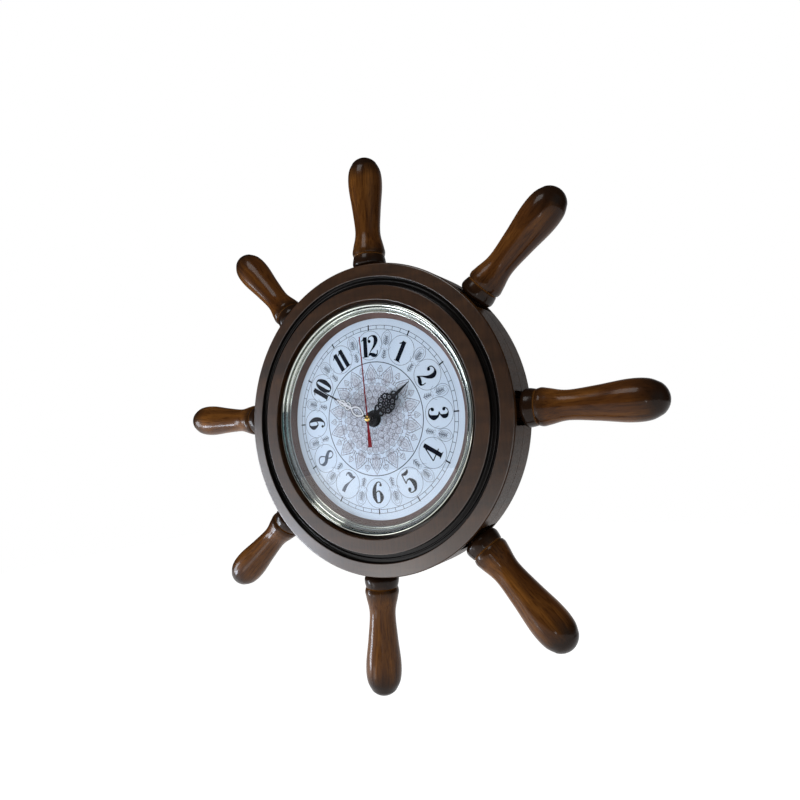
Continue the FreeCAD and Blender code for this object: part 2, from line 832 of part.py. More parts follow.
def make_movement_case(places):
    """Front half of the movement's case, with its threaded bushing, bearings, pillars and battery ribs."""
    front = movement_front
    back = depth(cover_split)
    inner = depth(movement_wall)
    shell = case_outline(0, front, back).cut(case_outline(movement_wall, inner, back + cut_over))
    bushing_front = dial_face - plain_washer_thickness - nut_thickness - bushing_show
    parts = [rod(bushing_radius, bushing_front, inner), battery_shelf(inner, back)]
    for x, z in pillar_places():
        parts.append(rod(pillar_radius, inner, depth(bridge_depth), x, z))
    for side in (-1, 1):
        left, right = sorted((side * cradle_place, side * (cradle_place + cradle_width)))
        rib = block(left, right, inner, depth(cradle_depth), battery_height - cradle_half_height,
                    battery_height + cradle_half_height)
        parts.append(rib.cut(battery_body(battery_radius)))
    shell = shell.fuse(parts)
    shell = shell.cut(rod(hour_pipe_radius + run_clearance, face - cut_over, inner + cut_over))
    for name in ("third", "motion"):
        x, z = places[name]
        shell = shell.cut(rod(pivot_radius + run_clearance, depth(movement_wall - bearing_depth),
                              inner + cut_over, x, z))
    return shell.removeSplitter()


def make_movement_cover(places):
    """Rear half of the case, open over the battery, with the rear bearings and the electrical posts."""
    front = depth(cover_split)
    back = movement_back
    inner_back = back - movement_wall
    shell = case_outline(0, front, back).cut(case_outline(movement_wall, front - cut_over, inner_back))
    shell = shell.cut(battery_cutter(front - cut_over, back + cut_over))
    bearings = {"rotor": pivot_radius, "intermediate": pivot_radius, "third": pivot_radius,
                "centre": seconds_arbor_radius}
    parts = [battery_shelf(front, back)]
    for x, z in pillar_places():
        parts.append(rod(pillar_radius, depth(bridge_depth + bridge_thickness), inner_back, x, z))
    for x, z in inset_corners(board_left, board_right, board_bottom, board_top):
        parts.append(rod(post_radius, depth(board_depth + board_thickness), inner_back, x, z))
    for x, z in inset_corners(core_left, core_right, stator_bar_bottom, core_height + core_width * HALF):
        parts.append(rod(post_radius, depth(stator_depth + stator_thickness), inner_back, x, z))
    for name in bearings:
        x, z = places[name]
        parts.append(rod(boss_radius, inner_back - bearing_depth, inner_back, x, z))
    x, z = places["motion"]
    parts.append(rod(knob_radius + knob_gap + movement_wall, back - knob_height - movement_wall, back, x, z))
    shell = shell.fuse(parts)
    shell = shell.cut(rod(knob_radius + knob_gap, back - knob_height, back + cut_over, x, z))
    shell = shell.cut(rod(arbor_radius + run_clearance, front - cut_over, back + cut_over, x, z))
    bearing_front = inner_back - bearing_depth - cut_over
    for name, radius in bearings.items():
        x, z = places[name]
        shell = shell.cut(rod(radius + run_clearance, bearing_front, inner_back, x, z))
    return shell.removeSplitter()


def make_bridge(places):
    """Plate between the hand gears and the motor gears, with bearings for the two inner arbors."""
    front = depth(bridge_depth)
    back = front + bridge_thickness
    plate = block(-bridge_half_width, bridge_half_width, front, back, bridge_bottom, bridge_top)
    upright = [edge for edge in plate.Edges if abs(edge.Vertexes[0].Y - edge.Vertexes[-1].Y) > fit_gap]
    plate = plate.makeFillet(pillar_inset, upright)
    for name in ("rotor", "intermediate"):
        x, z = places[name]
        plate = plate.cut(rod(pivot_radius + run_clearance, front - cut_over, back + cut_over, x, z))
    for name, radius in (("third", arbor_radius), ("motion", arbor_radius), ("centre", minute_pipe_radius)):
        x, z = places[name]
        plate = plate.cut(rod(radius + fit_gap, front - cut_over, back + cut_over, x, z))
    return plate


def make_battery():
    """Round cell on its side, with its raised end at the right."""
    body = battery_body(battery_radius)
    rounded = [edge for edge in body.Edges if edge.Curve.TypeId == "Part::GeomCircle"]
    body = body.makeFillet(battery_edge_radius, rounded)
    nub_length = battery_nub_length + battery_edge_radius
    nub = Part.makeCylinder(battery_nub_radius, nub_length,
                            Vector(battery_half_length - nub_length, depth(battery_depth), battery_height),
                            Vector(1, 0, 0))
    return body.fuse(nub).removeSplitter()


def make_contact(side):
    """Plate against the case wall with a raised middle that presses on one end of the battery."""
    y = depth(battery_depth)
    wall = movement_half_width - movement_wall
    half_depth = contact_depth * HALF
    half = contact_width * HALF
    left, right = sorted((side * (wall - contact_thickness), side * wall))
    plate = block(left, right, y - half_depth, y + half_depth, battery_height - half, battery_height + half)
    stub = Part.makeCylinder(contact_stub_radius, wall - contact_thickness * HALF - battery_half_length,
                             Vector(side * battery_half_length, y, battery_height), Vector(side, 0, 0))
    return plate.fuse(stub).removeSplitter()


def make_stator(places):
    """Soft-iron loop: a pole ring round the magnet, a lower bar, and the core through the coil."""
    front = depth(stator_depth)
    back = front + stator_thickness
    x, z = places["rotor"]
    half_core = core_width * HALF
    core = block(core_left, core_right, front, back, core_height - half_core, core_height + half_core)
    lower = block(core_left, core_right, front, back, stator_bar_bottom, stator_bar_top)
    pole = rod(stator_pole_radius + stator_pole_width, front, back, x, z)
    limit = block(core_left, core_right, front, back, stator_bar_bottom - stator_pole_width,
                  core_height + half_core)
    left_leg = block(core_left, core_left + core_width, front, back, stator_bar_bottom, core_height)
    right_leg = block(core_right - core_width, core_right, front, back, stator_bar_bottom, core_height)
    shape = core.fuse([lower, pole.common(limit), left_leg, right_leg])
    shape = shape.cut(rod(stator_pole_radius, front - cut_over, back + cut_over, x, z))
    return shape.removeSplitter()


def coil_rod(radius, left, right):
    y = depth(stator_depth) + stator_thickness * HALF
    return Part.makeCylinder(radius, right - left, Vector(left, y, core_height), Vector(1, 0, 0))


def make_bobbin():
    """Spool with two end flanges and a flat hole for the core."""
    spool = coil_rod(bobbin_radius, coil_left, coil_right)
    ends = [coil_rod(coil_radius, coil_left, coil_left + bobbin_flange),
            coil_rod(coil_radius, coil_right - bobbin_flange, coil_right)]
    half_core = core_width * HALF
    front = depth(stator_depth)
    hole = block(coil_left - cut_over, coil_right + cut_over, front, front + stator_thickness,
                 core_height - half_core, core_height + half_core)
    return spool.fuse(ends).cut(hole).removeSplitter()


def make_winding():
    outer = coil_rod(coil_radius - fit_gap, coil_left + bobbin_flange, coil_right - bobbin_flange)
    return outer.cut(coil_rod(bobbin_radius, coil_left, coil_right))


def make_circuit_board():
    front = depth(board_depth)
    return block(board_left, board_right, front, front + board_thickness, board_bottom, board_top)


def make_crystal():
    """Small metal can that lies on the front of the circuit board."""
    y = depth(board_depth) - crystal_radius
    return Part.makeCylinder(crystal_radius, crystal_length,
                             Vector(board_right - crystal_inset, y, board_bottom + crystal_inset),
                             Vector(0, 0, 1))


def make_knob(places):
    """Ribbed setting knob in its well in the back of the movement."""
    x, z = places["motion"]
    front = movement_back - knob_height + fit_gap
    back = movement_back
    ribs = []
    for index in range(knob_rib_count):
        dx, dz = polar(knob_radius - knob_rib_radius, index * FULL_TURN / knob_rib_count)
        ribs.append(rod(knob_rib_radius, front, back, x + dx, z + dz))
    knob = rod(knob_radius - knob_rib_radius, front, back, x, z).fuse(ribs)
    reach = knob_radius * HALF
    knob = knob.cut(block(x - reach, x + reach, back - knob_slot_depth, back + cut_over,
                          z - knob_rib_radius, z + knob_rib_radius))
    return knob.cut(rod(arbor_radius, front - cut_over, rear_arbor_end(), x, z))


def make_nut():
    """Six-sided nut that clamps the board between the movement and the dial."""
    back = dial_face - plain_washer_thickness
    radius = nut_across * HALF / math.cos(math.pi / SIX_SIDES)
    points = [polar(radius, index * FULL_TURN / SIX_SIDES) for index in range(SIX_SIDES)]
    nut = flat_shape(points, back - nut_thickness, back)
    return nut.cut(rod(bushing_radius, back - nut_thickness - cut_over, back + cut_over))


def hour_hand_plane():
    """The back face of the hour hand."""
    return dial_face - hour_hand_lift


def minute_hand_plane():
    return dial_face - minute_hand_lift


def second_hand_plane():
    return dial_face - second_hand_lift


def upward(points, front, back):
    """A flat hand that points to twelve, from the right-hand half of its outline."""
    mirrored = [(-x, z) for x, z in reversed(points) if x]
    return flat_shape(points + mirrored, front, back)


def make_hour_hand():
    """Broad pierced leaf near the boss, then a thin pointer."""
    back = hour_hand_plane()
    front = back - hand_thickness
    half = hour_pointer_width * HALF
    middle = (hour_leaf_start + hour_leaf_end) * HALF
    lobe_radius = hour_leaf_radius * HALF
    parts = [
        rod(hour_leaf_radius, front, back, 0, middle),
        rod(hour_boss_radius, back - hour_boss_height, back),
    ]
    for x in (-lobe_radius, lobe_radius):
        for place in (hour_leaf_start, hour_leaf_end):
            parts.append(rod(lobe_radius, front, back, x, (middle + place) * HALF))
    pointer = upward([(hour_pointer_width, 0), (hour_pointer_width, hour_leaf_start), (half, hour_leaf_end),
                      (half * HALF, hour_hand_length)], front, back)
    shape = pointer.fuse(parts)
    for index in range(hour_leaf_hole_count):
        dx, dz = polar(hour_leaf_radius * LEAF_HOLE_PLACE_SHARE,
                       (index + HALF) * FULL_TURN / hour_leaf_hole_count)
        shape = shape.cut(rod(hour_leaf_radius * LEAF_HOLE_RADIUS_SHARE, front - cut_over, back + cut_over,
                              dx, middle + dz))
    shape = shape.removeSplitter()
    return around(shape.cut(rod(hour_pipe_radius, face, back + cut_over)), hour_angle)


def make_minute_hand():
    """Open loop near the boss, a small knot and a long thin pointer."""
    back = minute_hand_plane()
    front = back - hand_thickness
    half = minute_pointer_width * HALF
    middle = (minute_loop_start + minute_loop_end) * HALF
    outside = upward([(half, 0), (half, minute_loop_start), (minute_loop_radius, middle),
                      (half, minute_loop_end), (half, minute_knot_place), (half * HALF, minute_hand_length)],
                     front, back)
    inside = upward([(0, minute_loop_start + minute_loop_bar),
                     (minute_loop_radius - minute_loop_bar, middle),
                     (0, minute_loop_end - minute_loop_bar)], front - cut_over, back + cut_over)
    knot = upward([(half, minute_knot_place - minute_knot_radius), (minute_knot_radius, minute_knot_place),
                   (half, minute_knot_place + minute_knot_radius)], front, back)
    boss = rod(minute_boss_radius, back - minute_boss_height, back)
    shape = outside.cut(inside).fuse([knot, boss]).removeSplitter()
    return around(shape.cut(rod(minute_pipe_radius, face, back + cut_over)), minute_angle)


def make_second_hand():
    """Thin needle with a widening tail on a short tube."""
    back = second_hand_plane()
    front = back - second_hand_thickness
    half = second_hand_width * HALF
    needle = upward([(second_tail_width * HALF, -second_tail_length), (half, 0),
                     (half * HALF, second_hand_length)], front, back)
    sleeve = rod(second_tube_radius, front, back + second_tube_height)
    shape = needle.fuse(sleeve).removeSplitter()
    return around(shape.cut(rod(seconds_arbor_radius, face, back + second_tube_height + cut_over)),
                  second_angle)


def make_cap():
    """Domed cap in front of the second hand."""
    back = second_hand_plane() - second_hand_thickness
    rim = back - cap_flange
    front = back - cap_height
    edges = [
        line((0, back), (cap_radius, back)),
        line((cap_radius, back), (cap_radius, rim)),
        dome_arc(cap_radius, rim, cap_height - cap_flange),
        line((0, front), (0, back)),
    ]
    return spin(edges)


def make_all():
    os.makedirs(OUT, exist_ok=True)
    places = axis_places()
    save("front_board", make_front_board())
    save("rear_ring", make_rear_ring())
    handle = make_handle()
    for index in range(handle_count):
        save("handle_%d" % (index + 1), around(handle, handle_angle(index)))
    save("hanger_plate", make_hanger())
    hanger_screws = [wood_screw(screw_radius, screw_head_radius, 0, screw_length, x, z)
                     for x, z in hanger_screw_places()]
    save("hanger_screws", Part.makeCompound(hanger_screws))
    board_screws = [wood_screw(board_screw_radius, board_screw_head, -board_screw_sink,
                               board_screw_length, x, z) for x, z in board_screw_places()]
    save("board_screws", Part.makeCompound(board_screws))
    save("dial_plate", make_dial())
    save("dial_surround", make_surround())
    save("glass", make_glass())
    save("bezel_insert", make_insert())
    save("bezel", make_bezel())
    save("rubber_washer", tube(washer_radius, bushing_radius + fit_gap, joint_plane, movement_front))
    save("plain_washer", tube(plain_washer_radius, bushing_radius, dial_face - plain_washer_thickness,
                              dial_face))
    save("fixing_nut", make_nut())
    save("movement_case", make_movement_case(places))
    save("movement_cover", make_movement_cover(places))
    save("train_bridge", make_bridge(places))
    save("battery", make_battery())
    save("contact_minus", make_contact(-1))
    save("contact_plus", make_contact(1))
    save("stator", make_stator(places))
    save("coil_bobbin", make_bobbin())
    save("coil_winding", make_winding())
    save("circuit_board", make_circuit_board())
    save("quartz_crystal", make_crystal())
    save("rotor_pinion", make_rotor(places))
    save("rotor_magnet", make_magnet(places))
    save("intermediate_wheel", make_intermediate(places))
    save("second_wheel", make_second_wheel(places))
    save("third_wheel", make_third_wheel(places))
    save("centre_wheel", make_centre_wheel(places))
    save("motion_wheel", make_motion_wheel(places))
    save("hour_wheel", make_hour_wheel(places))
    save("setting_knob", make_knob(places))
    save("hour_hand", make_hour_hand())
    save("minute_hand", make_minute_hand())
    save("second_hand", make_second_hand())
    save("hand_cap", make_cap())


make_all()
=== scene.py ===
# %% [markdown]
# # Ship's-wheel wall clock
# A round lacquered case with eight turned handles like a ship's steering wheel, a chromed bezel with a domed
# glass, and a printed dial with three hands. The CAD model has every part as a solid, and its surfaces could
# be shown as they are. They have no print, no grain and no fine roundings, so each outer part is made again
# over its solid, and the parts inside the case only get a finish.

# %% Load the frame
import math
import bmesh
import bpy
from mathutils import Matrix, Vector


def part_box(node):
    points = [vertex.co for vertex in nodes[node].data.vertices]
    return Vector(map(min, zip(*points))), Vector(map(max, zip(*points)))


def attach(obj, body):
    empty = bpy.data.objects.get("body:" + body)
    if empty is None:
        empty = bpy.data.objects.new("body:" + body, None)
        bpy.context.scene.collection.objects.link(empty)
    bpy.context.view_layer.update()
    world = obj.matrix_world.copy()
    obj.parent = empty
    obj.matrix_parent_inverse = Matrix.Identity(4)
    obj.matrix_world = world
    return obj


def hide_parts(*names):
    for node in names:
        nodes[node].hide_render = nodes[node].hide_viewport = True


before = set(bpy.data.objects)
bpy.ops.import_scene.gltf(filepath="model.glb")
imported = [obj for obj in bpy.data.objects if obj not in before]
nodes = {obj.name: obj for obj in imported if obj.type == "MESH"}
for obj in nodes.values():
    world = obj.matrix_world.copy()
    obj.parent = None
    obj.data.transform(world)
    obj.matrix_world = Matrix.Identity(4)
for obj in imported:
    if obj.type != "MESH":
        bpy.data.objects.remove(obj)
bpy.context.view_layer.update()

# %% [markdown]
# The main radii and heights of the clock could be typed in again. They are measured on the loaded solids
# instead, so that the dressed parts sit where the solids are. Everything below is drawn in millimetres from
# the clock's own axis, with the dial facing -Y, and is brought to metres once, when a piece is finished.

# %% Measure the frame
MM = 0.001
FULL_TURN = 2 * math.pi
HANDLES = 8


def span(name, axis):
    """Lowest and highest place of a node along one axis, in millimetres."""
    low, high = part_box(name)
    return low[axis] / MM, high[axis] / MM


def radius_of(name):
    """Radius of a round node that faces the front."""
    low, high = span(name, 2)
    return (high - low) / 2


axis_height = sum(span("dial_plate", 2)) / 2
face, joint = span("front_board", 1)
dial_front, dial_back = span("dial_plate", 1)
bezel_top, rebate = span("bezel", 1)
case_radius = radius_of("front_board")
bezel_outer = radius_of("bezel")
glass_edge = radius_of("glass")
print("axis", round(axis_height, 2), "face", round(face, 2), "dial", round(dial_front, 2))
print("case radius", round(case_radius, 2), "bezel", round(bezel_outer, 2), "glass", round(glass_edge, 2))

handle_turns = []
for number in range(HANDLES):
    points = nodes["handle_%d" % (number + 1)].data.vertices
    middle = sum((point.co for point in points), Vector()) / len(points)
    handle_turns.append(math.atan2(middle.x, middle.z - axis_height * MM))
print("handles at", [round(math.degrees(turn), 1) for turn in handle_turns])

# %% [markdown]
# Boards, handles, bezel and glass all come from a lathe. They could be made with the Screw modifier, or from
# rings of points worked out by hand. The spin operator takes a profile, like a turner's template, and closes
# the seam itself. Points that meet on the axis are merged, so that a dome closes at its pole.

# %% Turned parts
to_clock = Matrix.Translation((0, 0, axis_height * MM)) @ Matrix.Scale(MM, 4)


def shade_by_angle(mesh, angle):
    """Smooth shading, with sharp edges where two faces meet at more than an angle in degrees."""
    mesh.shade_smooth()
    mesh.set_sharp_from_angle(angle=math.radians(angle))


def new_object(name, bm):
    """An object at the origin that holds a mesh drawn in millimetres about the clock's axis."""
    bmesh.ops.recalc_face_normals(bm, faces=bm.faces)
    bm.transform(to_clock)
    mesh = bpy.data.meshes.new(name)
    bm.to_mesh(mesh)
    bm.free()
    obj = bpy.data.objects.new(name, mesh)
    bpy.context.scene.collection.objects.link(obj)
    return obj


def finish(name, bm, material, body="root", angle=35, replaces=()):
    """Make a finished piece that rides on a body, and may stand in for CAD nodes."""
    obj = new_object(name, bm)
    mesh = obj.data
    shade_by_angle(mesh, angle)
    mesh.materials.append(material)
    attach(obj, body)
    if replaces:
        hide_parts(*replaces)
    print(name, len(mesh.vertices), "points", len(mesh.polygons), "faces")
    return obj


def lathe(outline, steps=256, closed=True):
    """Turn an outline of (radius, place along the axis) points about the clock's axis."""
    bm = bmesh.new()
    verts = [bm.verts.new((radius, y, 0)) for radius, y in outline]
    ends = verts[1:] + verts[:1] if closed else verts[1:]
    edges = [bm.edges.new(pair) for pair in zip(verts, ends)]
    bmesh.ops.spin(bm, geom=verts + edges, cent=(0, 0, 0), axis=(0, 1, 0), angle=FULL_TURN, steps=steps,
                   use_merge=True)
    bmesh.ops.remove_doubles(bm, verts=bm.verts, dist=0.0005)
    return bm


print("pieces stand about the axis at", [round(value, 4) for value in to_clock.translation])

# %% [markdown]
# Turned and sawn edges are never sharp. A Bevel modifier could round them, but all alike. A moulding has
# rounds of different sizes, so the corners of a profile are rounded one by one before it is turned.

# %% Rounded corners


def softened(outline, rounds, steps=5, hold=0.1):
    """Replace corners of a closed outline by arcs; rounds gives the radius for a corner's number.

    A point at the hold's distance beside each arc keeps the flat faces beside it flat in their shading.
    """
    points = []
    for number, corner in enumerate(outline):
        corner = Vector(corner)
        radius = rounds.get(number, 0)
        if not radius:
            points.append(corner)
            continue
        before = (Vector(outline[number - 1]) - corner).normalized()
        after = (Vector(outline[(number + 1) % len(outline)]) - corner).normalized()
        half = before.angle(after) / 2
        reach = radius / math.tan(half)
        centre = corner + (before + after).normalized() * (radius / math.sin(half))
        start = corner + before * reach - centre
        end = corner + after * reach - centre
        points.append(corner + before * (reach + hold))
        for step in range(steps + 1):
            points.append(centre + start.lerp(end, step / steps).normalized() * radius)
        points.append(corner + after * (reach + hold))
    return points


one_round_corner = softened([(0, 0), (1, 0), (1, 1), (0, 1)], {2: 0.2})
print("a square with one round corner has", len(one_round_corner), "points")

# %% [markdown]
# No real surface is even. Image textures could show that, but they fix one size and one seam. Here every
# finish is a small node tree, in which noise in the piece's own coordinates varies the colour, the gloss and
# the relief a little. Colours are given as read off a screen, from 0 to 255.

# %% Colours and sockets
WHITE = (255, 255, 255)
BLACK = (0, 0, 0)
EVEN = (1, 1, 1)


def colour(red, green, blue):
    """A colour as read off a screen, from 0 to 255, as Blender's linear colour."""
    def linear(value):
        value /= 255
        return value / 12.92 if value <= 0.04045 else ((value + 0.055) / 1.055) ** 2.4
    return (linear(red), linear(green), linear(blue), 1)


def start_material(name, **values):
    """A new material and its shader, with plain sockets set by name."""
    material = bpy.data.materials.new(name)
    material.use_nodes = True
    shader = material.node_tree.nodes["Principled BSDF"]
    for key, value in values.items():
        shader.inputs[key.replace("_", " ")].default_value = value
    return material, material.node_tree, shader


def node(tree, kind, **values):
    """A shader node with its settings."""
    made = tree.nodes.new(kind)
    for key, value in values.items():
        setattr(made, key, value)
    return made


def feed(tree, socket, value):
    """Link a socket to another one, or set it to a plain value."""
    if isinstance(value, bpy.types.NodeSocket):
        tree.links.new(value, socket)
    else:
        socket.default_value = value


white = colour(*WHITE)
print("white is", white)

# %% [markdown]
# A pattern starts from coordinates: those of the piece itself, or values stored at its points, stretched
# where a grain is long. Noise varies over them. A ramp turns the noise into colours, a range into gloss, and
# a bump node into relief. Each helper adds one such node, so that a finish reads as a list of steps.

# %% Patterns


def carried(tree, name):
    """What the points of a piece carry under a name."""
    return node(tree, "ShaderNodeAttribute", attribute_name=name).outputs["Vector"]


def coordinates(tree, scale=EVEN, source=None):
    """The piece's own coordinates, or another source, stretched."""
    mapping = node(tree, "ShaderNodeMapping")
    mapping.inputs["Scale"].default_value = scale
    own = source or node(tree, "ShaderNodeTexCoord").outputs["Object"]
    tree.links.new(own, mapping.inputs["Vector"])
    return mapping.outputs["Vector"]


def noise(tree, vector, scale, detail=4, roughness=0.55, distortion=0.0):
    """Fractal noise from 0 to 1."""
    made = node(tree, "ShaderNodeTexNoise")
    for key, value in (("Scale", scale), ("Detail", detail), ("Roughness", roughness),
                       ("Distortion", distortion), ("Vector", vector)):
        feed(tree, made.inputs[key], value)
    return made.outputs["Fac"]


def ramp(tree, factor, stops):
    """Colours along a factor, from (position, screen colour) stops."""
    made = node(tree, "ShaderNodeValToRGB")
    elements = made.color_ramp.elements
    while len(elements) < len(stops):
        elements.new(0.5)
    for element, (position, shade) in zip(elements, stops):
        element.position = position
        element.color = colour(*shade)
    tree.links.new(factor, made.inputs["Fac"])
    return made.outputs["Color"]


def spread(tree, factor, low, high, start=0.3, end=0.7):
    """A factor stretched to a range."""
    made = node(tree, "ShaderNodeMapRange")
    for key, value in (("Value", factor), ("From Min", start), ("From Max", end), ("To Min", low),
                       ("To Max", high)):
        feed(tree, made.inputs[key], value)
    return made.outputs["Result"]


def calculated(tree, operation, *values):
    """One step of arithmetic on sockets or plain numbers."""
    made = node(tree, "ShaderNodeMath", operation=operation)
    for socket, value in zip(made.inputs, values):
        feed(tree, socket, value)
    return made.outputs[0]


def mixed(tree, factor, first, second, blend="MIX"):
    """Two colours mixed by a factor, each a socket or a plain colour."""
    made = node(tree, "ShaderNodeMix", data_type="RGBA", blend_type=blend)
    for key, value in (("Factor", factor), ("A", first), ("B", second)):
        feed(tree, [item for item in made.inputs if item.name == key and item.enabled][-1], value)
    return [item for item in made.outputs if item.enabled][0]


def relief(tree, height, shader, strength, distance=0.0002):
    """Bump from a height factor; gives the bumped normal back."""
    made = node(tree, "ShaderNodeBump")
    made.inputs["Strength"].default_value = strength
    made.inputs["Distance"].default_value = distance
    tree.links.new(height, made.inputs["Height"])
    tree.links.new(made.outputs["Normal"], shader.inputs["Normal"])
    return made.outputs["Normal"]


print("patterns: coordinates, noise, ramp, spread, calculated, mixed and relief")

# %% [markdown]
# Most finishes of the clock differ only in their numbers, so one helper makes them all: broad noise mixes
# two shades, fine noise varies the gloss, and the same fine noise gives a faint relief. The first to use it
# is the groove of the moulding, whose near-black finish is painted shade in that recess.

# %% Plain uneven finishes


def mottled(name, dark, light, gloss, scale, bump, stretch=EVEN, **values):
    """An uneven finish between two screen colours, with uneven gloss and a faint relief."""
    material, tree, shader = start_material(name, **values)
    vector = coordinates(tree, stretch)
    broad = noise(tree, vector, scale)
    fine = noise(tree, vector, scale * 9, 3)
    tree.links.new(ramp(tree, broad, [(0.3, dark), (0.7, light)]), shader.inputs["Base Color"])
    tree.links.new(spread(tree, fine, *gloss), shader.inputs["Roughness"])
    relief(tree, fine, shader, bump)
    return material


# Near-black painted shade for the groove of the moulding, a recess.
groove_painted_shade = mottled("groove_painted_shade", (12, 9, 8), (22, 17, 14), (0.3, 0.45), 90, 0.04, Coat_Weight=0.6,
                       Coat_Roughness=0.2, Specular_IOR_Level=0.08)
print("made", groove_painted_shade.name, "with", len(groove_painted_shade.node_tree.nodes), "nodes")

# %% [markdown]
# The case is dark brown board under a lacquer whose gloss shows a fine speckle. One glossy shader could do,
# but wood and lacquer shine differently: the wood below is dull, and a coat on top carries the gloss and the
# speckle. The same wood with next to no coat serves the rim and the back, which are duller.

# %% Case wood


def make_case_wood(name, coat, coat_ior):
    """Dark brown board under a speckled lacquer."""
    material, tree, shader = start_material(name, Coat_Weight=coat, Coat_Roughness=0.28, Coat_IOR=coat_ior,
                                            Specular_IOR_Level=0.08)
    broad = noise(tree, coordinates(tree, (1, 1, 7)), 14, 5, 0.6, 0.6)
    streak = noise(tree, coordinates(tree, (60, 60, 6)), 12, 4, 0.6)
    base = ramp(tree, broad, [(0.25, (46, 27, 12)), (0.55, (66, 40, 18)), (0.8, (84, 53, 26))])
    shade = ramp(tree, streak, [(0.35, (150, 140, 130)), (0.6, WHITE)])
    tree.links.new(mixed(tree, 0.5, base, shade, "MULTIPLY"), shader.inputs["Base Color"])
    speckle = noise(tree, coordinates(tree), 900, 2, 0.5)
    tree.links.new(spread(tree, speckle, 0.3, 0.5), shader.inputs["Roughness"])
    bumped = relief(tree, speckle, shader, 0.3, 0.00004)
    tree.links.new(bumped, shader.inputs["Coat Normal"])
    return material


case_wood = make_case_wood("case_wood", 1.0, 1.75)
side_wood = make_case_wood("side_wood", 0.05, 1.5)
print("case finishes", case_wood.name, side_wood.name)

# %% [markdown]
# The front board is one disc with a turned moulding: an outer band, a groove with a ridge in it, an inner
# band, and a rebate for the bezel. It could be a flat disc with many bevels. One closed profile that goes
# once round the board's section is easier to hold against a photograph, and each rounding is one number.

# %% Case front
RING_STEPS = 320
outer_face = face + 0.5
rim_face = outer_face + 0.8
groove_floor = face + 4.0
groove_slope = 0.5
outer_band = case_radius - 11.2
groove_inner = outer_band - 7.2
inner_band = groove_inner - 11.8
recess = inner_band - 6.3
bushing_hole = 4.3
ridge = outer_band - 3.4
ridge_half = 0.85
ridge_rise = 1.5
ridge_curve = [(ridge + ridge_half * math.cos(turn), groove_floor - ridge_rise * math.sin(turn))
               for turn in [math.pi * step / 10 for step in range(11)]]

outside_ridge = [(bushing_hole, joint), (case_radius, joint), (case_radius, rim_face),
                 (outer_band, outer_face), (outer_band - groove_slope, groove_floor)]
inside_ridge = [(groove_inner + groove_slope, groove_floor), (groove_inner, face), (inner_band, face),
                (inner_band, rebate), (recess, rebate), (recess, dial_back), (bushing_hole, dial_back)]
front_outline = outside_ridge + ridge_curve + inside_ridge
past_ridge = len(outside_ridge) + len(ridge_curve)
front_rounds = {1: 0.3, 2: 1.5, 3: 0.45, 4: 0.4, past_ridge: 0.4, past_ridge + 1: 0.5, past_ridge + 2: 0.5}
front_board = finish("case_front", lathe(softened(front_outline, front_rounds), RING_STEPS), case_wood,
                     replaces=("front_board",))

# %% [markdown]
# Each handle is glued into a square mortise in the rim, with a round tenon behind it. The pockets could be
# modelled face by face, but they cut through a round rim, and that is a joiner's job: blocks and drills are
# placed and taken away with an exact boolean. The result is kept as a plain mesh, and the cutters go.

# %% Mortises
mortise = Vector((25, 28, 12))
mortise_floor = case_radius - 9.5


def cutter_object(name, blocks=(), drills=()):
    """A throw-away cutter from placed unit cubes and (place, first radius, last radius, depth) drills."""
    bm = bmesh.new()
    for matrix in blocks:
        bmesh.ops.create_cube(bm, size=1, matrix=matrix)
    for matrix, first, last, depth in drills:
        bmesh.ops.create_cone(bm, cap_ends=True, segments=48, radius1=first, radius2=last, depth=depth,
                              matrix=matrix)
    return new_object(name, bm)


def cut(obj, cutters, angle=35):
    """Cut the cutters out of a piece for good, and take them away."""
    for cutter in cutters:
        modifier = obj.modifiers.new("cut", "BOOLEAN")
        modifier.object = cutter
        modifier.solver = "EXACT"
    bpy.context.view_layer.update()
    graph = bpy.context.evaluated_depsgraph_get()
    mesh = bpy.data.meshes.new_from_object(obj.evaluated_get(graph))
    obj.modifiers.clear()
    obj.data = mesh
    shade_by_angle(mesh, angle)
    for cutter in cutters:
        bpy.data.objects.remove(cutter)
    print(obj.name, "cut, now", len(mesh.polygons), "faces")


mortises = []
tenon_holes = []
for turn in handle_turns:
    aim = Matrix.Rotation(turn, 4, "Y")
    pocket_place = Matrix.Translation((0, joint, mortise_floor + mortise.z / 2))
    mortises.append(aim @ pocket_place @ Matrix.Diagonal((*mortise, 1)))
    tenon_holes.append((aim @ Matrix.Translation((0, joint, 110)), 8.05, 8.05, 20.4))
cut(front_board, [cutter_object("mortises", mortises), cutter_object("tenons", drills=tenon_holes)])

# %% [markdown]
# The groove gets painted shade, a near-black finish in that recess, and the rim is duller than the front.
# Three objects could carry the three finishes. One board is one piece of wood, though, so its faces choose
# a finish by where they lie.

# %% Groove and rim
GROOVE_SHADE_FINISH = 1
RIM_FINISH = 2
clock_middle = Vector((0, 0, axis_height * MM))
front_board.data.materials.append(groove_painted_shade)
front_board.data.materials.append(side_wood)
for polygon in front_board.data.polygons:
    spot = (polygon.center - clock_middle) / MM
    distance = math.hypot(spot.x, spot.z)
    # Faces inside the groove take the painted shade; faces on the rim take the duller wood.
    if groove_inner + 0.05 < distance < outer_band - 0.05 and face + 0.5 < spot.y < dial_front:
        polygon.material_index = GROOVE_SHADE_FINISH
    elif distance > case_radius - 0.6:
        polygon.material_index = RIM_FINISH
print("groove faces", sum(polygon.material_index == GROOVE_SHADE_FINISH for polygon in front_board.data.polygons))

# %% [markdown]
# The rear board is a ring that makes room for the movement. It is turned like the front, and the same
# mortises run on into it. Its back has a pocket for the hanger plate with two pilot holes, and eight
# countersunk wells for the board screws, all cut with the same tools.

# %% Case back
back_opening = 80
screw_circle = 90
facing_back = Matrix.Rotation(-math.pi / 2, 4, "X")


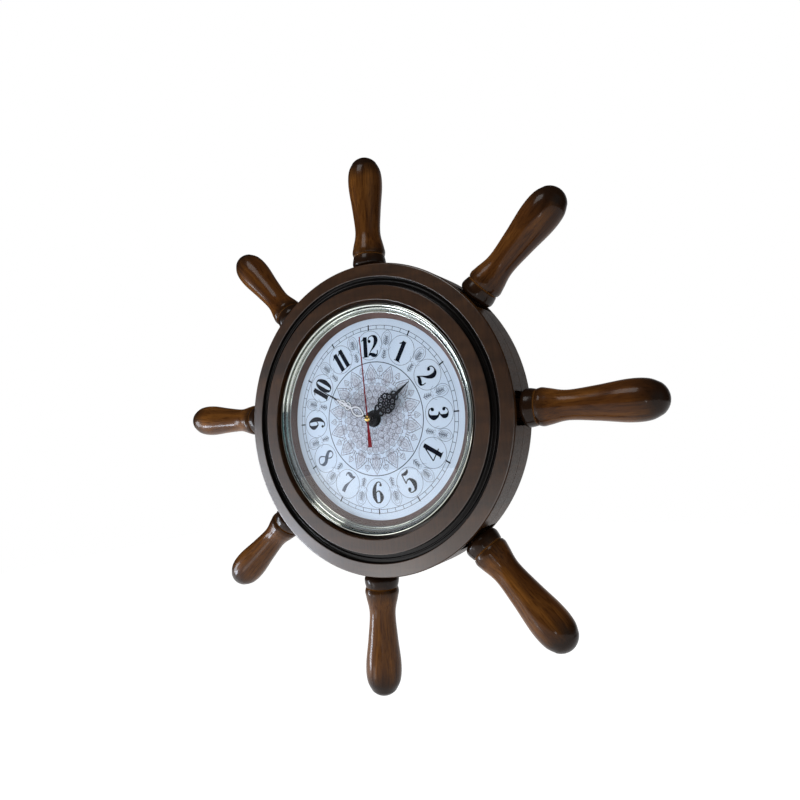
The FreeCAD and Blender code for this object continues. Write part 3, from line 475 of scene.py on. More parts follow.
def polar(distance, turn):
    """(x, z) at a distance from the axis, turned clockwise from twelve."""
    return Vector((distance * math.sin(turn), distance * math.cos(turn)))


def drill(x, y, z, first, last, depth):
    """A drill that enters the back, as cutter_object takes it."""
    return Matrix.Translation((x, y, z)) @ facing_back, first, last, depth


back_outline = [(back_opening, joint), (case_radius, joint), (case_radius, 0), (back_opening, 0)]
back_ring = finish("case_back", lathe(softened(back_outline, {0: 0.3, 1: 0.3, 2: 1.0, 3: 0.8}), RING_STEPS),
                   side_wood, replaces=("rear_ring",))
hanger_pocket = Matrix.Translation((0, 0, 87.1)) @ Matrix.Diagonal((22.4, 2.4, 26.2, 1))
screw_spots = [polar(screw_circle, math.radians(22.5) + turn) for turn in handle_turns]
cut(back_ring, [cutter_object("mortises", mortises), cutter_object("tenons", drills=tenon_holes),
                cutter_object("pocket", [hanger_pocket]),
                cutter_object("pocket_end", drills=[drill(0, 0, 74, 11.2, 11.2, 2.4)]),
                cutter_object("holes", drills=[drill(side * 6, -5.5, 92, 1.5, 1.5, 11) for side in (-1, 1)]),
                cutter_object("wells", drills=[drill(x, -1.5, z, 4.2, 4.2, 5.0) for x, z in screw_spots]),
                cutter_object("cones", drills=[drill(x, -9.8, z, 2.05, 4.05, 11.6) for x, z in screw_spots])])

# %% [markdown]
# The handles are walnut, with grain along each one, darker ends and a pale line behind the collar. A pattern
# on the object's coordinates would run straight through all eight in one direction. So each handle carries
# two values at its points: "grain", its own stretch of wood, and "place", how far along the handle it is.

# %% Handle finish


def make_handle_wood():
    """Glossy walnut that is darker at the collar and at the tip."""
    material, tree, shader = start_material("handle_wood", Coat_Weight=0.28, Coat_Roughness=0.13,
                                            Specular_IOR_Level=0.04)
    grain = carried(tree, "grain")
    broad = noise(tree, coordinates(tree, (1, 1, 0.09), grain), 70, 6, 0.62, 1.2)
    fine = noise(tree, coordinates(tree, (1, 1, 0.02), grain), 900, 3, 0.6)
    base = ramp(tree, broad, [(0.25, (52, 27, 10)), (0.42, (84, 48, 18)), (0.56, (108, 66, 25)),
                              (0.7, (134, 84, 33)), (0.85, (94, 55, 20))])
    pores = ramp(tree, fine, [(0.36, (165, 150, 135)), (0.5, WHITE)])
    grained = mixed(tree, 0.6, base, pores, "MULTIPLY")
    split = node(tree, "ShaderNodeSeparateXYZ")
    tree.links.new(carried(tree, "place"), split.inputs["Vector"])
    along = split.outputs["Z"]
    wobble = noise(tree, coordinates(tree, EVEN, grain), 60, 3)
    shifted = calculated(tree, "MULTIPLY_ADD", wobble, 0.16, along)
    ends = ramp(tree, shifted, [(0.17, WHITE), (0.3, BLACK), (0.84, BLACK), (1.0, WHITE)])
    darkened = mixed(tree, ends, grained, colour(40, 24, 13))
    line = ramp(tree, along, [(0.107, BLACK), (0.111, WHITE), (0.115, WHITE), (0.119, BLACK)])
    tree.links.new(mixed(tree, line, darkened, colour(128, 84, 38)), shader.inputs["Base Color"])
    tree.links.new(spread(tree, fine, 0.24, 0.4), shader.inputs["Roughness"])
    relief(tree, fine, shader, 0.12, 0.00005)
    return material


handle_wood = make_handle_wood()
print("handle finish", handle_wood.name)

# %% [markdown]
# A handle is a tenon, a collar with a fine notch, and a grip that swells and ends in a shallow dome. A few
# hundred points could be traced. A smooth curve through a few measured radii gives the same flowing line,
# and keeps the CAD handle's shape.

# %% Handle profile
HANDLE_STEPS = 96
handle_end = 225
collar_radius = 14.1
collar_length = 10.4
grip_radius = 14.5
tip_radius = 10.4
tip_rise = 5
tenon_radius = 8
tenon_end = 100
seat = case_radius + 0.3
handle_reach = handle_end - seat
collar_shares = ((0.0, 0.64), (0.1, 0.87), (0.32, 0.995), (0.6, 1.0), (1.0, 0.94))
grip_shares = ((0.12, 0.93), (0.15, 0.965), (0.20, 0.90), (0.33, 0.74), (0.53, 0.84), (0.74, 1.0),
               (0.87, 0.955))


def smooth_through(points, steps=8, closed=False):
    """A Catmull-Rom curve through points of any dimension."""
    points = [Vector(point) for point in points]
    count = len(points)
    result = []
    for number in range(count if closed else count - 1):
        if closed:
            a, b, c, d = (points[(number + shift) % count] for shift in (-1, 0, 1, 2))
        else:
            a, b, c, d = (points[min(max(number + shift, 0), count - 1)] for shift in (-1, 0, 1, 2))
        for step in range(steps):
            t = step / steps
            result.append(0.5 * (2 * b + (c - a) * t + (2 * a - 5 * b + 4 * c - d) * t * t
                                 + (3 * b - a - 3 * c + d) * t * t * t))
    return result if closed else result + [points[-1]]


tip_sphere = (tip_radius ** 2 + tip_rise ** 2) / (2 * tip_rise)
tip_limit = math.asin(tip_radius / tip_sphere)
tip_curve = [(tip_sphere * math.sin(tip_limit * share),
              handle_end - tip_sphere + tip_sphere * math.cos(tip_limit * share))
             for share in (1, 0.85, 0.7, 0.55, 0.4, 0.25, 0.12, 0)]
collar_spots = [(share * collar_radius, seat + along * collar_length) for along, share in collar_shares]
grip_spots = [(share * grip_radius, seat + along * handle_reach) for along, share in grip_shares]
collar_curve = smooth_through(collar_spots, 6)
grip_curve = smooth_through(grip_spots + tip_curve[:1], 9)
notch = [(12.75, seat + 10.75), (12.5, seat + 11.05), (12.75, seat + 11.35)]
tenon = [(0, tenon_end), (tenon_radius - 0.4, tenon_end), (tenon_radius, tenon_end + 0.4),
         (tenon_radius, seat)]
handle_outline = tenon + collar_curve + notch + grip_curve + tip_curve[1:]
print("handle profile", len(handle_outline), "points,", round(handle_end - seat, 1), "mm outside the rim")

# %% [markdown]
# All eight handles are turned from that profile. Copies of one object would be lighter, but they would show
# the same grain eight times. So each is a mesh of its own, which stores its stretch of wood at its points
# before it is leaned over to the angle measured on its CAD node.

# %% Handles
upright = Matrix.Translation((0, joint, 0)) @ Matrix.Rotation(math.pi / 2, 4, "X")


def make_handle(number, turn):
    """Turn one handle upright, note its grain, and lean it to its angle."""
    bm = lathe(handle_outline, HANDLE_STEPS, closed=False)
    bm.transform(upright)
    grain = bm.verts.layers.float_vector.new("grain")
    along = bm.verts.layers.float_vector.new("place")
    roll = Matrix.Rotation(number * 2.1 + 0.4, 3, "Z")
    stretch_of_wood = Vector((0.37, 0.11, 0.53)) * number
    for vert in bm.verts:
        local = vert.co - Vector((0, joint, seat))
        vert[along] = local / handle_reach
        vert[grain] = (roll @ local) * MM + stretch_of_wood
    bm.transform(Matrix.Rotation(turn, 4, "Y"))
    name = "handle_%d" % (number + 1)
    finish("turned_" + name, bm, handle_wood, replaces=(name,), angle=50)


for number, turn in enumerate(handle_turns):
    make_handle(number, turn)

# %% [markdown]
# A chromed bezel with a round bead holds the glass. Under the glass lies a stepped metal ring, and a brown
# ring slopes from it down to the dial. Chrome shows little of itself and much of the room, so its colour is
# nearly even and its roughness low. The glass lets shadow rays through, so that lamps light the dial below
# it without caustics, which would need far more samples.

# %% Bezel and glass finishes
chrome = mottled("chrome", (184, 188, 180), (204, 207, 198), (0.05, 0.09), 12, 0.002, Metallic=1.0)
surround_brown = mottled("surround_brown", (68, 47, 39), (87, 62, 53), (0.34, 0.46), 40, 0.05,
                         Specular_IOR_Level=0.25)


def make_glass():
    """Clear glass with a faint unevenness, open to shadow rays."""
    material, tree, shader = start_material("clear_glass", Transmission_Weight=1.0, IOR=1.45, Roughness=0.0)
    smear = noise(tree, coordinates(tree), 25, 3)
    tree.links.new(ramp(tree, smear, [(0.3, (250, 252, 255)), (0.7, WHITE)]), shader.inputs["Base Color"])
    mix = node(tree, "ShaderNodeMixShader")
    rays = node(tree, "ShaderNodeLightPath")
    clear = node(tree, "ShaderNodeBsdfTransparent")
    for socket, source in zip(mix.inputs, (rays.outputs["Is Shadow Ray"], shader.outputs["BSDF"],
                                           clear.outputs["BSDF"])):
        tree.links.new(source, socket)
    tree.links.new(mix.outputs["Shader"], tree.nodes["Material Output"].inputs["Surface"])
    return material


clear_glass = make_glass()
print("bezel finishes", chrome.name, surround_brown.name, clear_glass.name)

# %% [markdown]
# The bezel is a thin ring with a round bead at its front edge. A torus could be joined to a tube, but the
# seam between them would show in the chrome. One closed profile, with half a circle of points for the bead,
# has no seam.

# %% Bezel
bead = 1.3
glass_thickness = 1.6
glass_rise = 6
glass_front = bezel_top + bead
glass_seat = glass_front + glass_thickness
glass_rim = glass_edge - 1.4
bead_curve = [(bezel_outer - bead + bead * math.cos(turn), glass_front - bead * math.sin(turn))
              for turn in [math.pi * step / 16 for step in range(17)]]
bezel_outline = [(bezel_outer - 0.15, rebate), (bezel_outer, rebate - 0.15)] + bead_curve + [
    (bezel_outer - 1.2, glass_front), (bezel_outer - 1.2, rebate)]
finish("metal_bezel", lathe(bezel_outline, RING_STEPS), chrome, replaces=("bezel",), angle=30)

# %% [markdown]
# The stepped metal ring lies under the edge of the glass. It has two shallow swells, which draw the thin
# bright lines that polished steps show. They could be bump in the material, but a reflection follows real
# curvature much better.

# %% Stepped ring
insert_inner = glass_edge - 5.8
insert_band = insert_inner + 1.5
low_front = rebate - 0.6


def swell(start, end, height, steps=10):
    """A shallow bead between two outline points."""
    result = []
    for step in range(steps + 1):
        share = step / steps
        result.append((start[0] + (end[0] - start[0]) * share,
                       start[1] + (end[1] - start[1]) * share - 4 * height * share * (1 - share)))
    return result


insert_outline = ([(insert_inner, rebate), (glass_edge, rebate), (glass_edge, glass_seat),
                   (glass_rim + 0.1, glass_seat), (glass_rim - 0.15, glass_seat + 1.1)]
                  + swell((glass_rim - 0.5, glass_seat + 0.35), (insert_band + 0.45, low_front - 0.75), 0.4)
                  + [(insert_band + 0.2, low_front + 0.1)]
                  + swell((insert_band - 0.05, low_front - 0.1), (insert_inner + 0.05, low_front), 0.3))
finish("stepped_insert", lathe(insert_outline, RING_STEPS), chrome, replaces=("bezel_insert",),
       angle=28)

# %% [markdown]
# A brown ring slopes from the stepped ring down to the dial. The glass is a dome of even thickness with a
# flat edge. A single sheet would look like glass too, but light bends twice in a real pane, and a closed
# shell lets the renderer work that out.

# %% Surround and glass
sight = insert_inner - 4.4
surround_outer = recess - 0.2
surround_outline = [(sight, dial_front), (surround_outer, dial_front), (surround_outer, rebate),
                    (insert_inner, rebate)]
finish("sloping_surround", lathe(softened(surround_outline, {0: 0.15})), surround_brown,
       replaces=("dial_surround",))


def dome(radius, front, rise, steps=24):
    """A dome from its rim to its top on the axis, as (radius, y) points."""
    sphere = (radius * radius + rise * rise) / (2 * rise)
    limit = math.asin(radius / sphere)
    turns = [limit * (1 - step / steps) for step in range(steps + 1)]
    return [(sphere * math.sin(turn), front - rise + sphere * (1 - math.cos(turn))) for turn in turns]


glass_inside = dome(glass_rim, glass_seat, glass_rise)
glass_outside = dome(glass_rim, glass_front, glass_rise)
glass_outline = glass_inside[::-1] + [(glass_edge, glass_seat), (glass_edge, glass_front)] + glass_outside
finish("domed_glass", lathe(glass_outline, 192, closed=False), clear_glass,
       replaces=("glass",), angle=25)

# %% [markdown]
# The dial is printed paper. The print could be a picture, but that would blur close up. So it is drawn as
# flat strokes a few hundredths of a millimetre above the paper, and every line stays sharp. A stroke is a
# strip of faces along a line of (x, z, half width) points, so it can swell and thin like a pen's. First come
# the minute track, the circles round the numerals and the circle round the rosette.

# %% Dial print: track and circles
TRACK = 76.0
TRACK_SHARES = (0.9796, 1.0204)
HOUR_TICK_SHARES = (0.972, 1.032)
ink_front = dial_front - 0.05
tone_front = dial_front - 0.02


def sideways(way):
    """A flat direction, turned a quarter to the left."""
    return Vector((-way.y, way.x))


def ribbon(bm, points, y, closed=False):
    """A flat stroke in the dial's plane through (x, z, half width) points."""
    count = len(points)
    sides = []
    for number, point in enumerate(points):
        ahead = points[(number + 1) % count] if closed else points[min(number + 1, count - 1)]
        behind = points[number - 1] if closed else points[max(number - 1, 0)]
        way = Vector((ahead[0] - behind[0], ahead[1] - behind[1]))
        way = way.normalized() if way.length else Vector((1, 0))
        across = sideways(way) * point[2]
        left = bm.verts.new((point[0] + across.x, y, point[1] + across.y))
        right = bm.verts.new((point[0] - across.x, y, point[1] - across.y))
        sides.append((left, right))
    pairs = zip(sides, sides[1:] + sides[:1]) if closed else zip(sides, sides[1:])
    for (a, b), (c, d) in pairs:
        bm.faces.new((a, b, d, c))


def ring(bm, x, z, radius, half_width, y, steps=64):
    """A thin circle in the dial's plane."""
    turns = [FULL_TURN * step / steps for step in range(steps)]
    points = [(x + radius * math.cos(turn), z + radius * math.sin(turn), half_width) for turn in turns]
    ribbon(bm, points, y, closed=True)


black_lines = bmesh.new()
grey_lines = bmesh.new()
for share in TRACK_SHARES:
    ring(grey_lines, 0, 0, share * TRACK, 0.19, ink_front, 240)
for minute in range(60):
    bold = minute % 5 == 0
    half = 0.55 if bold else 0.22
    tick = [(*polar(share * TRACK, FULL_TURN * minute / 60), half)
            for share in (HOUR_TICK_SHARES if bold else TRACK_SHARES)]
    ribbon(black_lines if bold else grey_lines, tick, ink_front)
ring(grey_lines, 0, 0, 0.6195 * TRACK, 0.36, ink_front, 200)
for hour in range(12):
    ring(grey_lines, *polar(0.806 * TRACK, math.radians(30 * hour)), 0.16 * TRACK, 0.15, ink_front, 72)
print("track and circles", len(grey_lines.faces) + len(black_lines.faces), "faces")

# %% [markdown]
# The numerals have thick stems, hairlines and ball ends. A font could set them, but a common one looks
# unlike these, so each figure is a few strokes in a box one unit high. A 9 is a 6 turned round.

# %% Dial print: shapes of the figures
THIN = 0.026
GLYPHS = {
    "1": [[(0, 0, 0.095), (0, 0.97, 0.095)], [(-0.17, 0.015, 0.018), (0.17, 0.015, 0.018)],
          [(-0.22, 0.80, THIN), (-0.12, 0.86, 0.03), (-0.02, 0.97, 0.045)]],
    "2": [[(-0.24, 0.73, THIN), (-0.19, 0.92, 0.025), (0, 0.985, 0.03), (0.16, 0.9, 0.075),
           (0.2, 0.73, 0.095), (0.1, 0.5, 0.06), (-0.1, 0.28, THIN), (-0.24, 0.08, THIN)],
          [(-0.25, 0.06, THIN), (-0.14, 0.12, 0.055), (0.03, 0.06, 0.085), (0.17, 0.03, 0.055),
           (0.25, 0.12, THIN), (0.26, 0.27, THIN)]],
    "3": [[(-0.23, 0.78, THIN), (-0.15, 0.94, 0.022), (0, 0.985, 0.025), (0.14, 0.9, 0.07),
           (0.16, 0.75, 0.08), (0.08, 0.6, 0.03), (-0.05, 0.54, THIN)],
          [(-0.05, 0.54, THIN), (0.12, 0.49, 0.045), (0.2, 0.27, 0.1), (0.12, 0.07, 0.055),
           (-0.02, 0.015, THIN), (-0.17, 0.06, THIN), (-0.24, 0.22, THIN)]],
    "4": [[(0.1, 0, 0.09), (0.1, 1.0, 0.09)], [(0.07, 0.98, THIN), (-0.3, 0.28, THIN)],
          [(-0.3, 0.27, THIN), (0.3, 0.27, THIN)], [(-0.06, 0.015, 0.018), (0.28, 0.015, 0.018)]],
    "5": [[(-0.17, 0.97, THIN), (-0.02, 0.91, 0.07), (0.12, 0.93, 0.06), (0.21, 1.02, THIN)],
          [(-0.17, 0.98, THIN), (-0.19, 0.5, THIN)],
          [(-0.19, 0.5, THIN), (-0.06, 0.6, THIN), (0.09, 0.58, 0.05), (0.2, 0.33, 0.1), (0.11, 0.07, 0.055),
           (-0.05, 0.015, THIN), (-0.19, 0.06, THIN), (-0.25, 0.2, THIN)]],
    "6": [[(0.19, 0.84, THIN), (0.1, 0.97, THIN), (-0.06, 0.93, 0.035), (-0.2, 0.66, 0.085),
           (-0.21, 0.32, 0.095), (-0.11, 0.06, 0.05), (0.0, 0.015, THIN), (0.12, 0.07, 0.05),
           (0.19, 0.28, 0.09), (0.11, 0.5, 0.05), (0.0, 0.555, THIN), (-0.13, 0.46, THIN)]],
    "7": [[(-0.26, 0.76, THIN), (-0.22, 0.93, 0.045), (-0.06, 0.93, 0.085), (0.1, 0.88, 0.06),
           (0.24, 0.97, THIN)],
          [(0.24, 0.97, THIN), (0.08, 0.62, 0.028), (-0.05, 0.3, 0.07), (-0.07, 0.0, 0.09)]],
    "8": [[(0.0, 0.985, THIN), (-0.13, 0.92, 0.04), (-0.16, 0.77, 0.065), (-0.02, 0.56, 0.085),
           (0.16, 0.38, 0.08), (0.2, 0.2, 0.07), (0.1, 0.04, 0.03), (-0.02, 0.015, THIN), (-0.17, 0.08, 0.03),
           (-0.22, 0.24, 0.035), (-0.12, 0.42, THIN), (0.06, 0.58, THIN), (0.15, 0.76, 0.03),
           (0.1, 0.93, 0.022), (0.0, 0.985, THIN)]],
    "0": [[(0, 0.985, THIN), (0.13, 0.87, 0.06), (0.19, 0.5, 0.1), (0.13, 0.13, 0.06), (0, 0.015, THIN),
           (-0.13, 0.13, 0.06), (-0.19, 0.5, 0.1), (-0.13, 0.87, 0.06), (0, 0.985, THIN)]],
}
BALLS = {"2": [(-0.165, 0.735, 0.08)], "3": [(-0.155, 0.78, 0.078), (-0.165, 0.215, 0.082)],
         "5": [(-0.17, 0.2, 0.082)], "6": [(0.15, 0.835, 0.068)]}
GLYPHS["9"] = [[(-x, 1 - z, half) for x, z, half in stroke] for stroke in GLYPHS["6"]]
BALLS["9"] = [(-x, 1 - z, radius) for x, z, radius in BALLS["6"]]
print("strokes for", len(GLYPHS), "figures")

# %% [markdown]
# Each number is set in its circle, turned with the dial and scaled. On the lower half the feet point
# outward, so that no number stands on its head. 7 and 8 are printed paler: a painted reflection, the veil
# that the glass mirrors over them from the left.

# %% Dial print: numerals
DIGIT_SHIFTS = {"10": (-0.27, 0.16), "11": (-0.16, 0.2), "12": (-0.24, 0.17)}
# Hours whose figures get paler ink, a painted reflection of the glass over them.
GLARE_PAINTED_HOURS = (7, 8)
numeral_height = 0.232 * TRACK
glare_painted_numbers = bmesh.new()


def disc(bm, x, z, radius, y, steps=20):
    """A flat round spot in the dial's plane."""
    facing = Matrix.Translation((x, y, z)) @ Matrix.Rotation(math.pi / 2, 4, "X")
    bmesh.ops.create_circle(bm, cap_ends=True, segments=steps, radius=radius, matrix=facing)


def placed(points, origin, turn, scale):
    """Strokes drawn upright in a unit box, set at an (x, z) origin, turned clockwise and scaled."""
    up = polar(1, turn)
    result = []
    for x, z, half_width in points:
        spot = origin + (up * z - sideways(up) * x) * scale
        result.append((spot.x, spot.y, half_width * scale))
    return result


def fattened(half):
    """Stems a little thicker than drawn, and hairlines as they are."""
    return half * 1.14 if half > 0.05 else half


def draw_numeral(hour):
    """One hour's number, heads outward on the upper half and feet outward below."""
    turn = math.radians(30 * hour)
    text = str(hour)
    facing = turn + math.pi if 4 <= hour <= 8 else turn
    origin = polar(0.796 * TRACK, turn)
    # 7 and 8 go to the paler ink, a painted reflection.
    target = glare_painted_numbers if hour in GLARE_PAINTED_HOURS else black_lines
    for shift, digit in zip(DIGIT_SHIFTS.get(text, (0,)), text):
        for stroke in GLYPHS[digit]:
            points = [(x + shift, z - 0.5, fattened(half)) for x, z, half in stroke]
            curve = smooth_through(points, 7) if len(points) > 2 else points
            ribbon(target, placed(curve, origin, facing, numeral_height), ink_front)
        for x, z, radius in BALLS.get(digit, ()):
            spot = placed([(x + shift, z - 0.5, radius)], origin, facing, numeral_height)[0]
            disc(target, *spot, ink_front - 0.005)


for hour in range(1, 13):
    draw_numeral(hour)
print("numerals", len(black_lines.faces), "black faces and", len(glare_painted_numbers.faces), "pale ones")

# %% [markdown]
# A plain leaf spray under an arch fills each gap between two numerals. One shape drawn once and turned
# twelve times is enough. Its points are given as shares of the track's radius, out from the axis and to the
# side, so that the print keeps its layout at any size.

# %% Dial print: leaves
leaf_lines = bmesh.new()
ARCH = ((0.80, -0.028), (0.86, -0.062), (0.92, -0.058), (0.962, -0.022), (0.972, 0), (0.962, 0.022),
        (0.92, 0.058), (0.86, 0.062), (0.80, 0.028))
INNER_ARCH = ((0.83, -0.03), (0.88, -0.042), (0.935, -0.024), (0.948, 0), (0.935, 0.024), (0.88, 0.042),
              (0.83, 0.03))
SPRAYS = ((0.80, 0.93, 5, 0.044), (0.65, 0.775, 4, 0.038))


def on_dial(turn, radius, side=0.0):
    """A point out from the axis and to the right, in shares of the track's radius."""
    up = polar(TRACK, turn)
    return up * radius - sideways(up) * side


def dial_line(turn, shares, half_width):
    """A smooth leaf line of even width through (radius, side) shares."""
    points = [(*on_dial(turn, radius, side), half_width) for radius, side in shares]
    ribbon(leaf_lines, smooth_through(points, 5), ink_front)


def loop_between(base, tip, widths):
    """A loop from a base to a tip and back, with its half widths at even steps of the way."""
    way = tip - base
    across = sideways(way).normalized()
    middles = [base + way * step / (len(widths) - 1) for step in range(len(widths))]
    left = [middle + across * width for middle, width in zip(middles, widths)]
    right = [middle - across * width for middle, width in zip(middles, widths)]
    return left + right[-2:0:-1]


def lens(bm, base, tip, half_width, y, line=None):
    """A leaf between two (x, z) points: filled, or as an outline of the given half width."""
    shares = [step / 10 for step in range(11)]
    widths = [math.sin(math.pi * share ** 0.8) ** 0.9 * half_width for share in shares]
    loop = loop_between(base, tip, widths)
    if line:
        ribbon(bm, [(*point, line) for point in loop], y, closed=True)
    else:
        bm.faces.new([bm.verts.new((point.x, y, point.y)) for point in loop])


for hour in range(12):
    turn = math.radians(30 * hour + 15)
    dial_line(turn, ARCH, 0.17)
    dial_line(turn, INNER_ARCH, 0.12)
    for start, end, pairs, width in SPRAYS:
        lens(leaf_lines, on_dial(turn, start), on_dial(turn, end), 0.45, ink_front)
        for pair in range(pairs):
            root = start + (end - start) * (0.1 + 0.72 * pair / pairs)
            for side in (-1, 1):
                tip = on_dial(turn, root + 0.03, side * width * (1 - 0.5 * pair / pairs))
                lens(leaf_lines, on_dial(turn, root), tip, 0.34, ink_front - 0.001 * (pair + 1))
    for side in (-1, 1):
        dial_line(turn, ((0.78, side * 0.012), (0.76, side * 0.042), (0.80, side * 0.075)), 0.12)
print("leaves", len(leaf_lines.faces), "faces")

# %% [markdown]
# A lace rosette fills the middle of the dial: fourteen pointed petals with small rings between them, then
# rows of scallops towards the axis, over a pale tone. The layout is this lesson's own. Strokes that cross
# lie at slightly different heights, because two faces in one plane would flicker.

# %% Dial print: rosette
PETALS = 14
PETAL_OUTLINES = ((0.425, 0.607, 6.0, 0.22), (0.438, 0.57, 4.0, 0.17))
PETAL_RINGS = ((0.50, 0.062, 0.75, 0.13, 0.001, 10), (0.535, 0.04, 0.65, 0.13, 0.001, 10),
               (0.418, 0.028, 2.0, 0.15, 0.002, 18), (0.418, 0.028, 1.0, 0.13, 0.002, 12))
SCALLOP_ROWS = ((0.09, 0.18, 10, 2.2), (0.15, 0.25, 14, 2.8), (0.21, 0.325, 21, 2.9), (0.29, 0.4, 28, 2.6))
lace_lines = bmesh.new()
tone_spots = bmesh.new()


def pointed(base, tip, half_width, y, line):
    """A petal's outline that is broad near its base and drawn out to a fine point."""
    shares = [step / 14 for step in range(15)]
    widths = [1.9 * half_width * share ** 0.25 * (1 - share) ** 1.1 for share in shares]
    loop = loop_between(base, tip, widths)
    ribbon(lace_lines, [(*point, line) for point in loop], y, closed=True)


for number in range(PETALS):
    turn = FULL_TURN * number / PETALS
    between = turn + math.pi / PETALS
    lens(tone_spots, on_dial(turn, 0.40), on_dial(turn, 0.55), 4.0, tone_front)
    for base, tip, width, line in PETAL_OUTLINES:
        pointed(on_dial(turn, base), on_dial(turn, tip), width, ink_front, line)
    lens(lace_lines, on_dial(turn, 0.45), on_dial(turn, 0.515), 1.3, ink_front - 0.002, 0.16)
    for side in (-1, 1):
        for radius, aside, size, line, lift, steps in PETAL_RINGS:
            ring(lace_lines, *on_dial(turn, radius, side * aside), size, line, ink_front - lift, steps)
        base, tip = on_dial(between, 0.44, side * 0.004), on_dial(between, 0.485, side * 0.03)
        pointed(base, tip, 1.0, ink_front, 0.14)
    stalk = [(*on_dial(between, radius), 0.16) for radius in (0.43, 0.525)]
    ribbon(lace_lines, stalk, ink_front - 0.003)
    pointed(on_dial(between, 0.515), on_dial(between, 0.588), 2.5, ink_front, 0.18)
    pointed(on_dial(between, 0.523), on_dial(between, 0.562), 1.2, ink_front - 0.001, 0.14)

for base, tip, count, width in SCALLOP_ROWS:
    middle = (base + 2 * tip) / 3
    half_step = 0.5 if count % 3 == 0 else 0
    for number in range(count):
        turn = FULL_TURN * (number + half_step) / count
        level = ink_front - 0.001 * (number % 3)
        lens(lace_lines, on_dial(turn, base), on_dial(turn, tip), width, level, 0.17)
        lens(lace_lines, on_dial(turn, middle - 0.025), on_dial(turn, middle + 0.016), 0.9, level, 0.14)
    ring(lace_lines, 0, 0, (tip - 0.012) * TRACK, 0.13, ink_front - 0.005, 120)
ring(tone_spots, 0, 0, 0.24 * TRACK, 0.125 * TRACK, tone_front, 96)
print("rosette", len(lace_lines.faces), "faces")

# %% [markdown]
# The inks differ in colour and are nearly without gloss, so that the numerals stay dark where the glass
# reflects light on them. Flat strokes could stay single sheets. They are extruded to a real thickness, so
# that each print is a closed solid whose normals point outward.

# %% Dial print: inks
INK_THICKNESS = 0.06
TONE_THICKNESS = 0.03
paper = mottled("dial_paper", (196, 209, 222), (202, 214, 227), (0.42, 0.5), 30, 0.02)
ink_black = mottled("ink_black", (6, 10, 22), (12, 16, 28), (0.5, 0.6), 400, 0.02, Specular_IOR_Level=0.03)
ink_line = mottled("ink_line", (52, 58, 70), (70, 76, 88), (0.4, 0.5), 300, 0.02, Specular_IOR_Level=0.1)
# Paler ink for 7 and 8: painted reflection of the glass over them.
ink_painted_glare = mottled("ink_painted_glare", (72, 80, 94), (90, 98, 112), (0.4, 0.5), 300, 0.02, Specular_IOR_Level=0.03)
ink_leaf = mottled("ink_leaf", (74, 81, 94), (102, 109, 122), (0.4, 0.5), 300, 0.02)
ink_lace = mottled("ink_lace", (76, 66, 74), (108, 96, 104), (0.4, 0.5), 300, 0.02)
ink_tone = mottled("ink_tone", (182, 188, 199), (192, 198, 209), (0.42, 0.5), 200, 0.02)


def thicken(bm, thickness):
    """Give flat strokes a real thickness behind their front."""
    faces = list(bm.faces)
    bmesh.ops.recalc_face_normals(bm, faces=faces)
    fronts = [front for front in faces if front.normal.y > 0]
    bmesh.ops.reverse_faces(bm, faces=fronts)
    made = bmesh.ops.extrude_face_region(bm, geom=faces, use_keep_orig=True)
    moved = [item for item in made["geom"] if isinstance(item, bmesh.types.BMVert)]
    bmesh.ops.translate(bm, verts=moved, vec=(0, thickness, 0))


for name, bm, material in (("print_black", black_lines, ink_black),
                           ("print_glare_painted_numbers", glare_painted_numbers, ink_painted_glare),
                           ("print_lines", grey_lines, ink_line), ("print_leaves", leaf_lines, ink_leaf),
                           ("print_lace", lace_lines, ink_lace)):
    thicken(bm, INK_THICKNESS)
    finish(name, bm, material)
thicken(tone_spots, TONE_THICKNESS)
finish("print_tone", tone_spots, ink_tone)

# %% [markdown]
# The hands are pressed and pierced sheet metal on turned bosses. A sheet could be cut with booleans, hole by
# hole. Drawing the metal that is left is simpler: the same strokes as for the print, made thick. Each hand
# is drawn pointing at twelve, turned to its time, and lies in a layer of its own under the glass.

# %% Hand helpers
black_enamel = mottled("black_enamel", (16, 16, 20), (28, 29, 34), (0.2, 0.3), 300, 0.03)
red_enamel = mottled("red_enamel", (104, 3, 12), (122, 6, 18), (0.25, 0.35), 300, 0.03,
                     Specular_IOR_Level=0.1)
# Bright metal for the painted highlight on the minute hand.
painted_highlight_silver = mottled("painted_highlight_silver", (226, 228, 232), (242, 243, 246), (0.2, 0.35), 300, 0.03,
                       Metallic=0.35)
brass = mottled("brass", (196, 156, 84), (222, 186, 112), (0.14, 0.25), 300, 0.04, Metallic=1.0)
sheet = 0.4
hour_turn = math.radians(55.0)
minute_turn = math.radians(299.8)
second_turn = math.radians(357.2)
hour_back = dial_front - 4.1
minute_back = dial_front - 6.4
second_back = dial_front - 9.2


def turned(points, turn):
    """Upright (x, z, half width) points turned to the hand's angle."""
    return placed(points, Vector((0, 0)), turn, 1.0)


def stroke(bm, points, turn, y, steps=6, closed=False):
    """A smooth stroke of a hand, drawn upright and turned."""
    curve = smooth_through(points, steps, closed) if len(points) > 2 else points
    ribbon(bm, turned(curve, turn), y, closed)


def boss(bm, outline, steps=64):
    """Turned part of a hand, joined into the same mesh."""
    part = lathe(outline, steps)
    mesh = bpy.data.meshes.new("boss")
    part.to_mesh(mesh)
    part.free()
    bm.from_mesh(mesh)
    bpy.data.meshes.remove(mesh)


print("hands lie", round(hour_back, 2), round(minute_back, 2), round(second_back, 2), "mm from the wall")

# %% [markdown]
# The hour hand is broad and black: scrolls beside the boss, a rosette of eight small rings round a middle
# ring, two leaves and a spear. The rings overlap like pierced metal, with small steps in height again.

# %% Hour hand


